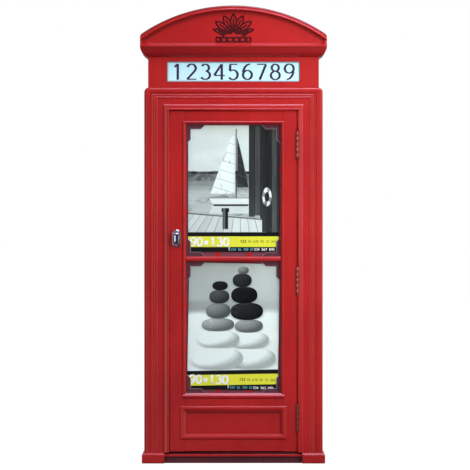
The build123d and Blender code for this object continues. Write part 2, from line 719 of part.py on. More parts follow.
def panel_groove(part):
    """Groove that holds the bottom panel."""
    reach = STILE_X + GROOVE_D
    back = PANEL_FACE - PANEL_T - GROOVE_PLAY
    front = PANEL_FACE + GROOVE_PLAY
    return part - block(-reach, reach, back, front, PANEL_Z0 - GROOVE_D, LOWER_RAIL_Z + GROOVE_D)


def stile():
    """Right stile: the full height of the door, grooved for the bottom panel."""
    board = block(STILE_X, DOOR_X, FACE_BACK, DOOR_FACE, DOOR_Z0, DOOR_Z1)
    return panel_groove(softened(board))


def right_stile():
    """Right stile with the seats and the pilot holes of three hinge leaves."""
    part = stile()
    for z in HINGE_ZS.values():
        part -= leaf_pocket(z, DOOR_X, -1, DOOR_FACE)
        part = screw_hole_x(part, z, DOOR_X, -1)
    return part


def left_stile():
    """Left stile, drilled for the handle's spindle, its plate and the strike of the catch."""
    part = flipped(stile())
    part -= rod(HANDLE_X, HANDLE_Z, FACE_BACK, DOOR_FACE, SPINDLE_R + SPINDLE_HOLE_PLAY)
    hole = SCREW_R + SCREW_PLAY
    sunk = SCREW_L - HANDLE_PLATE_T
    for z in handle_screw_heights():
        part -= rod(HANDLE_X, z, DOOR_FACE - sunk, DOOR_FACE, hole)
    return part - rod(STRIKE_X, CATCH_Z, FACE_BACK, FACE_BACK + SCREW_L - STRIKE_T, hole)


def handle_screw_heights():
    return (HANDLE_Z - HANDLE_SCREW_SPREAD / 2, HANDLE_Z + HANDLE_SCREW_SPREAD / 2)


def top_rail():
    return softened(block(-STILE_X, STILE_X, FACE_BACK, DOOR_FACE, TOP_RAIL_Z, DOOR_Z1))


def lower_rail():
    board = block(-STILE_X, STILE_X, FACE_BACK, DOOR_FACE, LOWER_RAIL_Z, LOWER_RAIL_TOP)
    return panel_groove(softened(board))


def bottom_rail():
    board = block(-STILE_X, STILE_X, FACE_BACK, DOOR_FACE, DOOR_Z0, PANEL_Z0)
    return panel_groove(softened(board))


def middle_rail():
    """Glazing bar between the two windows: a chamfered cap on a thin web, like a T."""
    face = DOOR_FACE + MID_RAIL_PROUD
    half = MID_RAIL_W / 2
    flat = MID_WEB_T / 2
    seat = across(PLATE_FACE)
    shoulder = across(face - (half - flat))
    front = across(face)
    outline = Polyline(
        (seat, -half), (shoulder, -half), (front, -flat),
        (front, flat), (shoulder, half), (seat, half), close=True,
    )
    bar = along_x(Pos(0, MID_RAIL_Z) * make_face(outline), -WINDOW_X, WINDOW_X)
    web = block(-STILE_X, STILE_X, FACE_BACK, PLATE_FACE, MID_RAIL_Z - flat, MID_RAIL_Z + flat)
    return bar + web


def bottom_panel():
    """Flat panel, loose in its grooves by GROOVE_PLAY."""
    reach = STILE_X + GROOVE_D - GROOVE_PLAY
    z0 = PANEL_Z0 - GROOVE_D + GROOVE_PLAY
    z1 = LOWER_RAIL_Z + GROOVE_D - GROOVE_PLAY
    return block(-reach, reach, PANEL_FACE - PANEL_T, PANEL_FACE, z0, z1)


# ---------------------------------------------------------------- door mouldings
def bolection(seat, lip, lap, crest):
    """Moulding section as (distance out from its sight line, height above the door face).

    The body stands inside the opening, from its seat up to the door face; the crest leans out
    over the frame and slopes down towards the sight line."""
    width = lip + lap
    sight = -crest * CREST_SIGHT
    brow = (width * CREST_BROW_X, crest * CREST_BROW_H)
    top = (width * CREST_TOP_X, crest)
    edge = crest * CREST_EDGE_H
    return closed(
        Line((0, seat), (0, sight)),
        Line((0, sight), brow),
        ThreePointArc(brow, top, (width, edge)),
        Line((width, edge), (width, 0)),
        Line((width, 0), (lip, 0)),
        Line((lip, 0), (lip, seat)),
        Line((lip, seat), (0, seat)),
    )


def upright_run(section, x, z0, z1):
    """Right-hand run of a moulding, sight line at x."""
    return along_z(Pos(x, across(DOOR_FACE)) * mirror(section, about=Plane.XZ), z0, z1)


def level_run(section, z, half, upward):
    """Level run of a moulding, sight line at z, its outside above or below."""
    turned = Rot(0, 0, 90) * section
    if not upward:
        turned = mirror(turned, about=Plane.XZ)
    return along_x(Pos(across(DOOR_FACE), z) * turned, -half, half)


def window_moulding():
    """Two mitred sides and head, on a wider sill moulding: four lengths round both windows."""
    seat = PLATE_FACE - DOOR_FACE
    section = bolection(seat, MOULDING_LIP, MOULDING_LAP, MOULDING_H)
    sill_section = bolection(seat, MOULDING_LIP, WINDOW_SILL_W - MOULDING_LIP, MOULDING_H)
    outer = WINDOW_X + MOULDING_LIP + MOULDING_LAP
    right = upright_run(section, WINDOW_X, WINDOW_Z0, WINDOW_Z1 + STILE_W)
    right = beyond(right, WINDOW_X, WINDOW_Z1, (-1, -1))
    head = level_run(section, WINDOW_Z1, outer, True)
    head = beyond(head, WINDOW_X, WINDOW_Z1, (1, 1))
    head = beyond(head, -WINDOW_X, WINDOW_Z1, (1, -1))
    foot = level_run(sill_section, WINDOW_Z0, outer, False)
    foot -= block(STILE_X, outer, 0, DOOR_FACE, 0, WINDOW_Z0)
    foot -= block(-outer, -STILE_X, 0, DOOR_FACE, 0, WINDOW_Z0)
    return Compound(children=[right, flipped(right), head, foot])


def panel_moulding():
    """Four mitred lengths round the bottom panel."""
    seat = PANEL_FACE - DOOR_FACE
    section = bolection(seat, PANEL_MOULDING_LIP, PANEL_MOULDING_LAP, PANEL_MOULDING_H)
    sight_x = STILE_X - PANEL_MOULDING_LIP
    z0 = PANEL_Z0 + PANEL_MOULDING_LIP
    z1 = LOWER_RAIL_Z - PANEL_MOULDING_LIP
    spare = PANEL_MOULDING_LIP + PANEL_MOULDING_LAP
    right = upright_run(section, sight_x, z0 - spare, z1 + spare)
    right = beyond(right, sight_x, z1, (-1, -1))
    right = beyond(right, sight_x, z0, (1, -1))
    head = level_run(section, z1, sight_x + spare, True)
    head = beyond(head, sight_x, z1, (1, 1))
    head = beyond(head, -sight_x, z1, (1, -1))
    foot = mirror(head, about=Plane.XY.offset((z0 + z1) / 2))
    return Compound(children=[right, flipped(right), head, foot])


# ---------------------------------------------------------------- picture plates and cards
def corner_tab():
    """One die-cut corner tab, drawn for the lower left corner at (0, 0): an L whose arms end in
    a chamfer."""
    w = TAB_ARM_W
    length = TAB_ARM_L
    return make_face(
        Polyline((0, 0), (length, 0), (length - w, w), (w, w), (w, length - w), (0, length), close=True)
    )


def tab_wall():
    """The two bent edges that join a tab to its plate, seen from the front."""
    length = TAB_ARM_L - TAB_ARM_W
    level = Pos(length / 2, TAB_T / 2) * Rectangle(length, TAB_T)
    upright = Pos(TAB_T / 2, length / 2) * Rectangle(TAB_T, length)
    return level + upright


def muntins(z0, z1):
    """Embossed bars that divide a window into three by three panes, each with sloped flanks."""
    width = 2 * WINDOW_X
    height = z1 - z0
    bars = []
    for index in (1, 2):
        x = -WINDOW_X + width * index / 3
        z = z0 + height * index / 3
        bars.append(Pos(x, (z0 + z1) / 2) * Rectangle(MUNTIN_W, height))
        bars.append(Pos(0, z) * Rectangle(width, MUNTIN_W))
    return bars


def picture_plate(z0, z1, low, high):
    """Pressed plate behind one window, from low to high, seen between z0 and z1.

    The muntins are embossed forward, and the corner tabs are cut free, lifted by the height of
    a muntin and a card, and left joined to the plate along their two outer edges."""
    half = STILE_X - PLATE_PLAY
    plate = block(-half, half, PLATE_BACK, PLATE_FACE, low, high)
    for bar in muntins(z0, z1):
        plate += slab(bar, PLATE_FACE, CARD_BACK)
    pieces = [(corner_tab(), TAB_BACK, TAB_BACK + TAB_T), (tab_wall(), PLATE_FACE, TAB_BACK)]
    for shape, d0, d1 in pieces:
        upper = mirror(shape, about=Plane.XZ)
        for placed, z in ((shape, z0), (upper, z1)):
            plate += slab(Pos(-WINDOW_X, z) * placed, d0, d1)
            plate += slab(Pos(WINDOW_X, z) * mirror(placed, about=Plane.YZ), d0, d1)
    return plate


def card(z_centre, tilt):
    """Picture card, its four corners behind the tabs."""
    face = Pos(0, z_centre) * Rot(0, 0, tilt) * Rectangle(CARD_W, CARD_H)
    return slab(face, CARD_BACK, CARD_BACK + CARD_T)


def retaining_frame(low, high):
    """Thin frame that holds a picture plate from behind."""
    middle = Pos(0, (low + high) / 2)
    half = STILE_X - PLATE_PLAY
    outer = middle * Rectangle(2 * half, high - low)
    inner = middle * Rectangle(2 * (half - RETAINER_W), high - low - 2 * RETAINER_W)
    return slab(outer - inner, FACE_BACK + RETAINER_SETBACK, PLATE_BACK)


# ---------------------------------------------------------------- screws
def screw():
    """Countersunk screw that points along +Z, its flat head at the origin."""
    profile = make_face(
        Polyline(
            (0, 0), (SCREW_HEAD_R, 0), (SCREW_R, SCREW_HEAD_H),
            (SCREW_R, SCREW_L - SCREW_R), (0, SCREW_L), close=True,
        )
    )
    return revolve(Plane.XZ * profile, Axis.Z)


def sink():
    """Cutter for a screw's head and shank, a little larger than the screw."""
    play = SCREW_PLAY
    profile = make_face(
        Polyline(
            (0, -play), (SCREW_HEAD_R + play, -play), (SCREW_HEAD_R + play, 0),
            (SCREW_R + play, SCREW_HEAD_H), (SCREW_R + play, SCREW_L), (0, SCREW_L), close=True,
        )
    )
    return revolve(Plane.XZ * profile, Axis.Z)


def facing(x, depth, z, direction):
    """Place for a screw driven from this point along a direction (dx, dy, dz)."""
    return Plane(origin=(x, across(depth), z), z_dir=direction).location


# ---------------------------------------------------------------- hinges
def barrel(z, radius, indexes):
    """Knuckles of one hinge, counted from the bottom."""
    pitch = HINGE_L / KNUCKLES
    start = z - HINGE_L / 2
    round_bar = Pos(HINGE_X, across(HINGE_D)) * Circle(radius)
    parts = []
    for index in indexes:
        low = start + index * pitch + KNUCKLE_GAP / 2
        parts.append(along_z(round_bar, low, low + pitch - KNUCKLE_GAP))
    return parts


def hinge_leaf(z, outer_x, direction, indexes):
    """One leaf: a thin plate on the edge of the wood, with tabs that roll into its knuckles."""
    inner_x = outer_x + direction * LEAF_T
    half = HINGE_L / 2
    leaf = block(outer_x, inner_x, LEAF_BACK, LEAF_FRONT, z - half, z + half)
    pitch = HINGE_L / KNUCKLES
    for index in indexes:
        low = z - half + index * pitch + KNUCKLE_GAP / 2
        leaf += block(outer_x, inner_x, LEAF_FRONT, HINGE_D, low, low + pitch - KNUCKLE_GAP)
    for knuckle in barrel(z, KNUCKLE_R, indexes):
        leaf += knuckle
    bore = Pos(HINGE_X, across(HINGE_D)) * Circle(PIN_R + PIN_FIT)
    leaf -= along_z(bore, z - half, z + half)
    for place in leaf_screw_places(z, inner_x, -direction):
        leaf -= place * sink()
    return leaf


def leaf_screw_places(z, x, direction):
    """Where the two screws of a leaf start, on its free face."""
    heights = (z - HINGE_SCREW_SPREAD / 2, z + HINGE_SCREW_SPREAD / 2)
    return [facing(x, LEAF_SCREW_D, height, (direction, 0, 0)) for height in heights]


def hinge_pin(z):
    """Pin with two small round heads."""
    half = HINGE_L / 2
    pin = along_z(Pos(HINGE_X, across(HINGE_D)) * Circle(PIN_R), z - half, z + half)
    for low in (z - half - PIN_HEAD, z + half):
        pin += along_z(Pos(HINGE_X, across(HINGE_D)) * Circle(PIN_HEAD_R), low, low + PIN_HEAD)
    return pin


# ---------------------------------------------------------------- handle and latch
def handle_plate():
    """Oval plate with a domed edge, a bush hole for the spindle and two sunk screw holes."""
    outline = Pos(HANDLE_X, HANDLE_Z) * Rot(0, 0, 90) * SlotOverall(HANDLE_PLATE_H, HANDLE_PLATE_W)
    face = DOOR_FACE + HANDLE_PLATE_T
    plate = slab(outline, DOOR_FACE, face)
    plate = fillet(plate.faces().sort_by(Axis.Y)[0].edges(), HANDLE_PLATE_EDGE_R)
    plate -= rod(HANDLE_X, HANDLE_Z, DOOR_FACE, face, SPINDLE_R + SPINDLE_FIT)
    for z in handle_screw_heights():
        plate -= facing(HANDLE_X, face, z, (0, 1, 0)) * sink()
    return plate


def handle_grip():
    """Thumb turn: an upright rounded fin on a boss, with its spindle, square and threaded end."""
    boss_back = DOOR_FACE + HANDLE_PLATE_T + BOSS_GAP
    boss_face = boss_back + BOSS_H
    grip = rod(HANDLE_X, HANDLE_Z, boss_back, boss_face, BOSS_R)
    grip += rod(HANDLE_X, HANDLE_Z, CAM_FACE, boss_back, SPINDLE_R)
    grip += slab(Pos(HANDLE_X, HANDLE_Z) * Rectangle(CAM_SQUARE, CAM_SQUARE), CAM_BACK, CAM_FACE)
    stud_end = CAM_BACK - NUT_T - STUD_SHOW
    grip += rod(HANDLE_X, HANDLE_Z, stud_end, CAM_BACK, STUD_R)
    half = GRIP_H / 2
    root = across(boss_face)
    tip = across(boss_face + GRIP_OUT)
    shape = closed(
        Line((root, -half), (root, half)),
        ThreePointArc((root, half), (tip, 0), (root, -half)),
    )
    fin = along_x(Pos(0, HANDLE_Z) * shape, HANDLE_X - GRIP_W / 2, HANDLE_X + GRIP_W / 2)
    rounded = [e for e in fin.edges() if e.geom_type == GeomType.CIRCLE]
    return grip + fillet(rounded, GRIP_EDGE_R)


def latch_cam():
    """Cam behind the door: a rounded arm on a boss, with a square hole."""
    arm = Pos(0, CAM_L / 2 - CAM_W / 4) * Rectangle(CAM_W, CAM_L - CAM_W / 2)
    outline = arm + Circle(CAM_BOSS_R) + Pos(0, CAM_L - CAM_W / 2) * Circle(CAM_W / 2)
    place = Pos(HANDLE_X, HANDLE_Z)
    cam = slab(place * outline, CAM_BACK, CAM_FACE)
    cam += rod(HANDLE_X, HANDLE_Z, CAM_FACE, FACE_BACK - CAM_BOSS_GAP, CAM_BOSS_R)
    cam -= rod(HANDLE_X, HANDLE_Z, CAM_FACE, FACE_BACK, SPINDLE_R + SPINDLE_FIT)
    side = CAM_SQUARE + CAM_SQUARE_PLAY
    return cam - slab(place * Rectangle(side, side), CAM_BACK, CAM_FACE)


def cam_nut():
    """Hexagon nut that holds the cam on the square."""
    hexagon = RegularPolygon(NUT_FLATS / 2, 6, major_radius=False) - Circle(STUD_R + SCREW_PLAY)
    return slab(Pos(HANDLE_X, HANDLE_Z) * hexagon, CAM_BACK - NUT_T, CAM_BACK)


# ---------------------------------------------------------------- magnetic catch
def magnet(play):
    """Block magnet in the face of its case, opposite the strike."""
    half_w = MAGNET_W / 2 + play
    half_h = MAGNET_H / 2 + play
    back = CATCH_FACE - MAGNET_D - play
    return block(STRIKE_X - half_w, STRIKE_X + half_w, back, CATCH_FACE, CATCH_Z - half_h, CATCH_Z + half_h)


def catch_screw_places():
    heights = (CATCH_Z - CATCH_SCREW_SPREAD / 2, CATCH_Z + CATCH_SCREW_SPREAD / 2)
    return [facing(CATCH_SCREW_X, FACE_BACK - CATCH_EAR_T, z, (0, -1, 0)) for z in heights]


def magnet_case():
    """Plastic case behind the left pilaster: a screwed ear, and a deeper box beside the opening."""
    z0 = CATCH_Z - CATCH_H / 2
    z1 = CATCH_Z + CATCH_H / 2
    ear_end = -OPENING_X - CATCH_EAR_W
    box_end = -OPENING_X + CATCH_CASE_W
    box_back = CATCH_FACE - CATCH_CASE_D
    case = block(-OPENING_X - CATCH_STEP, box_end, box_back, CATCH_FACE, z0, z1)
    case = fillet(case.edges().filter_by(Axis.Z).group_by(Axis.Y)[-1], CATCH_CORNER_R)
    case += block(ear_end, -OPENING_X - CATCH_STEP / 2, FACE_BACK - CATCH_EAR_T, FACE_BACK, z0, z1)
    case -= magnet(MAGNET_PLAY)
    for place in catch_screw_places():
        case -= place * sink()
    return case


def strike_screw_place():
    return facing(STRIKE_X, STRIKE_BACK, CATCH_Z, (0, -1, 0))


def strike_plate():
    """Steel plate on the back of the left stile, held by one screw."""
    outline = Pos(STRIKE_X, CATCH_Z) * RectangleRounded(STRIKE_W, STRIKE_H, STRIKE_CORNER_R)
    return slab(outline, STRIKE_BACK, FACE_BACK) - strike_screw_place() * sink()


# ---------------------------------------------------------------- key hooks
def hook_xs():
    """Hooks spread evenly about the middle of their rail."""
    first = -HOOK_PITCH * (HOOK_COUNT - 1) / 2
    return [first + index * HOOK_PITCH for index in range(HOOK_COUNT)]


def hook_rail(z):
    """Wooden strip on the back panel, its front edges rounded, bored for the hooks."""
    strip = block(-RAIL_W / 2, RAIL_W / 2, BACK_T, RAIL_FACE, z - RAIL_H / 2, z + RAIL_H / 2)
    strip = fillet(strip.faces().sort_by(Axis.Y)[0].edges(), RAIL_EDGE_R)
    for x in hook_xs():
        strip -= rod(x, z, RAIL_FACE - HOOK_ROOT, RAIL_FACE, HOOK_R + HOOK_FIT)
    return strip


def key_hook(x, z):
    """Square-bent hook: a root in the wood, a flange, the reach, a bend and an upright tip."""
    front = across(RAIL_FACE + HOOK_REACH)
    path = FilletPolyline(
        (across(RAIL_FACE), z), (front, z), (front, z + HOOK_RISE - HOOK_R), radius=HOOK_BEND_R
    )
    path = Plane.YZ.offset(x) * path
    start = Plane(origin=(x, across(RAIL_FACE), z), z_dir=(0, -1, 0))
    wire = sweep(start * Circle(HOOK_R), path=path)
    wire += Pos(x, front, z + HOOK_RISE - HOOK_R) * Sphere(HOOK_R)
    wire += rod(x, z, RAIL_FACE - HOOK_ROOT, RAIL_FACE, HOOK_R)
    return wire + rod(x, z, RAIL_FACE, RAIL_FACE + HOOK_FLANGE_T, HOOK_FLANGE_R)


# ---------------------------------------------------------------- assembly
def build_cabinet():
    """Everything that hangs on the wall and stays still."""
    save("back_panel", back_panel())
    save("right_side", side_board())
    save("left_side", flipped(side_board()))
    save("floor_board", floor_board())
    save("top_board", top_board())
    right, head = split_frame(face_frame())
    save("door_head", head)
    save("right_pilaster", right_pilaster(right))
    save("left_pilaster", left_pilaster(flipped(right)))
    save("right_plinth_block", plinth_block())
    save("left_plinth_block", flipped(plinth_block()))
    save("sill", sill())
    save("kick_board", kick_board())
    save("sign_fascia", sign_fascia())
    save("right_frieze_cheek", frieze_cheek())
    save("left_frieze_cheek", flipped(frieze_cheek()))
    save("sign_pane", sign_pane())
    front, side = cornice()
    save("cornice_front", front)
    save("cornice_right", side)
    save("cornice_left", flipped(side))
    save("dome_floor", dome_floor())
    save("dome_roof", dome_roof())
    save("tympanum", tympanum())
    save("arch_rim", arch_rim([front, side]))
    for name, z in RAIL_ZS.items():
        save(f"{name}_hook_rail", hook_rail(z))
        save(f"{name}_key_hooks", Compound(children=[key_hook(x, z) for x in hook_xs()]))
    save("magnet_case", magnet_case())
    save("magnet", magnet(0))
    save("catch_screws", Compound(children=[place * screw() for place in catch_screw_places()]))


def build_hinges():
    """Three butt hinges with loose pins, and their screws."""
    frame_knuckles = range(0, KNUCKLES, 2)
    door_knuckles = range(1, KNUCKLES, 2)
    frame_screws = []
    door_screws = []
    for name, z in HINGE_ZS.items():
        save(f"{name}_hinge_frame_leaf", hinge_leaf(z, OPENING_X + LEAF_SUNK, -1, frame_knuckles))
        save(f"{name}_hinge_door_leaf", hinge_leaf(z, DOOR_X - LEAF_SUNK, 1, door_knuckles))
        frame_screws += [place * screw() for place in leaf_screw_places(z, OPENING_X - LEAF_OUT, 1)]
        door_screws += [place * screw() for place in leaf_screw_places(z, DOOR_X + LEAF_OUT, -1)]
    save("hinge_pins", Compound(children=[hinge_pin(z) for z in HINGE_ZS.values()]))
    save("hinge_frame_screws", Compound(children=frame_screws))
    save("hinge_door_screws", Compound(children=door_screws))


def build_door():
    """Framed door with two picture plates, a bottom panel and its fittings."""
    save("left_stile", left_stile())
    save("right_stile", right_stile())
    save("top_rail", top_rail())
    save("middle_rail", middle_rail())
    save("lower_rail", lower_rail())
    save("bottom_rail", bottom_rail())
    save("bottom_panel", bottom_panel())
    save("window_moulding", window_moulding())
    save("panel_moulding", panel_moulding())
    web = MID_WEB_T / 2 + PLATE_PLAY
    windows = {
        "upper": (MID_Z1, WINDOW_Z1, MID_RAIL_Z + web, TOP_RAIL_Z - PLATE_PLAY),
        "lower": (WINDOW_Z0, MID_Z0, LOWER_RAIL_TOP + PLATE_PLAY, MID_RAIL_Z - web),
    }
    cards = {"upper": (UPPER_CARD_RISE, 0), "lower": (LOWER_CARD_RISE, -CARD_TILT)}
    for name, (z0, z1, low, high) in windows.items():
        rise, tilt = cards[name]
        save(f"{name}_picture_plate", picture_plate(z0, z1, low, high))
        save(f"{name}_retaining_frame", retaining_frame(low, high))
        save(f"{name}_card", card((z0 + z1) / 2 + rise, tilt))
    save("strike_plate", strike_plate())
    save("handle_plate", handle_plate())
    face = DOOR_FACE + HANDLE_PLATE_T
    places = [facing(HANDLE_X, face, z, (0, 1, 0)) for z in handle_screw_heights()]
    places.append(strike_screw_place())
    save("door_fitting_screws", Compound(children=[place * screw() for place in places]))


def build_handle():
    """Thumb turn and the cam on its spindle."""
    save("handle_grip", handle_grip())
    save("latch_cam", latch_cam())
    save("cam_nut", cam_nut())


build_cabinet()
build_hinges()
build_door()
build_handle()
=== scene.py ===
# %% [markdown]
# # A booth-shaped key cabinet, finished in Blender
# The joinery arrives ready made: sixty named parts in three bodies, the cabinet on its wall, the
# door on three hinges and the thumb turn in the door. What is left is the work of the paint shop,
# the printer and the locksmith: enamel, cards, brass and chrome, felt strips round the door, a
# palmette over the sign and digits on it. Nothing here moves a part, so every finish and every
# added piece is placed by asking the loaded model where things are.

# %% Load the model
import json
import math
import bpy
import numpy as np
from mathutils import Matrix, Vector


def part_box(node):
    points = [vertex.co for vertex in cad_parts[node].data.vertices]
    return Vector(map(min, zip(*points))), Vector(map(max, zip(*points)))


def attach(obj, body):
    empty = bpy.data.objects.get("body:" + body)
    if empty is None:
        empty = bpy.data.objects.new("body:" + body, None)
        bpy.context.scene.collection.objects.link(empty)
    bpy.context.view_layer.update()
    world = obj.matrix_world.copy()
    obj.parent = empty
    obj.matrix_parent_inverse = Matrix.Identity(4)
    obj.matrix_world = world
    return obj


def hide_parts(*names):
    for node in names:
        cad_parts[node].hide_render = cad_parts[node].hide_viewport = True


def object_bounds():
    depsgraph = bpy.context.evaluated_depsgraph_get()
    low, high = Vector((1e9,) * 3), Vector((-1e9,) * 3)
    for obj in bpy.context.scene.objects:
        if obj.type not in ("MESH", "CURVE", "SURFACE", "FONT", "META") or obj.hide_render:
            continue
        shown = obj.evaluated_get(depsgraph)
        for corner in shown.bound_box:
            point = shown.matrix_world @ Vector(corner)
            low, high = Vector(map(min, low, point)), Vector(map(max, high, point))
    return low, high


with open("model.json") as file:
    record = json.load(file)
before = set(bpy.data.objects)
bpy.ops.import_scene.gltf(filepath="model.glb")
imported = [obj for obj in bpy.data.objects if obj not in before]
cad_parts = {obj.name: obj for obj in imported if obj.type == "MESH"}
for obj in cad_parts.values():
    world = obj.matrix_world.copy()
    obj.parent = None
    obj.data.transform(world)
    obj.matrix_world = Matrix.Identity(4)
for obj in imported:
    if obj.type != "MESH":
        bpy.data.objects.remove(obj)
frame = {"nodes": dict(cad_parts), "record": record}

nodes = frame["nodes"]
cad_low, cad_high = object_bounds()

# %% [markdown]
# ## Measures taken from the model
# A finish such as the red bars on the dark plates has to fall exactly on the embossed bars, so it
# starts from the edges of the same boxes. Small sizes that a box can't show are written once here.
# Shaders and profiles work in millimetres.

# %% Edges and small sizes
MM = 0.001
SIGHT_LIP = 1.9
TAB_W, TAB_L = 4.4, 19.0
MUNTIN_W = 4.4


def box_mm(name):
    """The low and high corner of a part's box, in millimetres."""
    return [[value / MM for value in corner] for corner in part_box(name)]


def foot_and_top(name):
    """Where a part begins and ends in z."""
    return [corner[2] for corner in box_mm(name)]


def size_mm(name):
    """Width, depth and height of a part's box."""
    return [(high - low) / MM for low, high in zip(*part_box(name))]


def turned(x, z, degrees):
    """The step (x, z), turned anticlockwise as the viewer sees it."""
    cos, sin = math.cos(math.radians(degrees)), math.sin(math.radians(degrees))
    return x * cos - z * sin, x * sin + z * cos


def link(name, data):
    """A new object in the scene that holds the data."""
    made = bpy.data.objects.new(name, data)
    bpy.context.scene.collection.objects.link(made)
    return made


WINDOW_X = box_mm("top_rail")[1][0] - SIGHT_LIP
WINDOW_TOP = foot_and_top("top_rail")[0] - SIGHT_LIP
BAR_FOOT, BAR_TOP = foot_and_top("middle_rail")
WINDOW_FOOT = foot_and_top("lower_rail")[1] + SIGHT_LIP
WINDOWS = [(WINDOW_FOOT, BAR_FOOT), (BAR_TOP, WINDOW_TOP)]
print("windows:", [[round(z, 1) for z in window] for window in WINDOWS])

# %% [markdown]
# ## Camera and light
# A wall cabinet is looked at straight on from some way back, so the lens is long and the rails
# stay parallel. A soft box above puts a pale line on every edge that faces up. An upright box
# stands near, a little to the right, so the light falls off to the left and to the foot. A weaker
# one far to the left draws a thin shadow along each edge. Gloss is told not to mirror these two,
# so the paint keeps its colour. Behind the cabinet the camera sees plain white paper.

# %% Camera
FRAME_WIDTH = 0.463
DISTANCE = 2.4
AIM = Vector((0.0015, cad_low.y + 0.007, 0.2251))
camera_data = bpy.data.cameras.new("camera")
camera_data.sensor_width = 36.0
camera_data.lens = camera_data.sensor_width * DISTANCE / FRAME_WIDTH
camera = link("camera", camera_data)
camera.location = AIM - Vector((0, DISTANCE, 0))
camera.rotation_euler = (math.radians(90), 0, 0)
bpy.context.scene.camera = camera
bpy.context.scene.view_settings.view_transform = "Standard"
print("lens:", round(camera_data.lens, 1))


# %% Lamps
def lamp(name, place, aim, width, height, radiance, colour, glints=True):
    """A soft box. Its power is radiance times pi times its area. Gloss mirrors it with glints."""
    data = bpy.data.lights.new(name, "AREA")
    data.shape = "RECTANGLE"
    data.size = width
    data.size_y = height
    data.energy = radiance * math.pi * width * height
    data.color = colour
    made = link(name, data)
    made.location = place
    made.rotation_euler = (Vector(aim) - Vector(place)).to_track_quat("-Z", "Y").to_euler()
    made.visible_glossy = glints


SOFT_WHITE = (1.0, 0.985, 0.97)
lamp("top_box", (0.2, -0.24, 1.05), (0, -0.03, 0.35), 0.8, 0.34, 7.3, (0.74, 0.88, 1.22))
lamp("near_box", (0.3, -0.36, 0.36), (0.02, 0, 0.3), 0.3, 0.5, 4.5, SOFT_WHITE, False)
lamp("left_box", (-0.75, -0.85, 0.95), (0, 0, 0.3), 0.5, 0.5, 3.8, SOFT_WHITE, False)

# %% [markdown]
# ## Writing shader sums as sums
# A pattern is mostly arithmetic on the place of a point: how far it is from an edge, whether it
# lies on a stripe. The two classes below let it be written as Python: a `Term` wraps one socket and
# answers to + - * /, and a `Finish` is one material that makes any other box from its type, its
# settings and what feeds it.

# %% Terms and finishes


class Term:
    """One value in a material. Sums with numbers or other terms add the Math nodes they need."""

    def __init__(self, finish, socket):
        self.finish = finish
        self.socket = socket

    def output(self, name):
        """Another output of the node that made this term."""
        return Term(self.finish, self.socket.node.outputs[name])

    def __abs__(self):
        return self.finish.sum("ABSOLUTE", self)


def sign_method(operation, swap):
    """What a sign does to a term, or, with swap, what it does with the term at its right."""
    def work(term, other):
        return term.finish.sum(operation, *((other, term) if swap else (term, other)))

    return work


SIGNS = {"add": "ADD", "sub": "SUBTRACT", "mul": "MULTIPLY", "truediv": "DIVIDE"}
for sign, operation in SIGNS.items():
    setattr(Term, f"__{sign}__", sign_method(operation, False))
    setattr(Term, f"__r{sign}__", sign_method(operation, True))


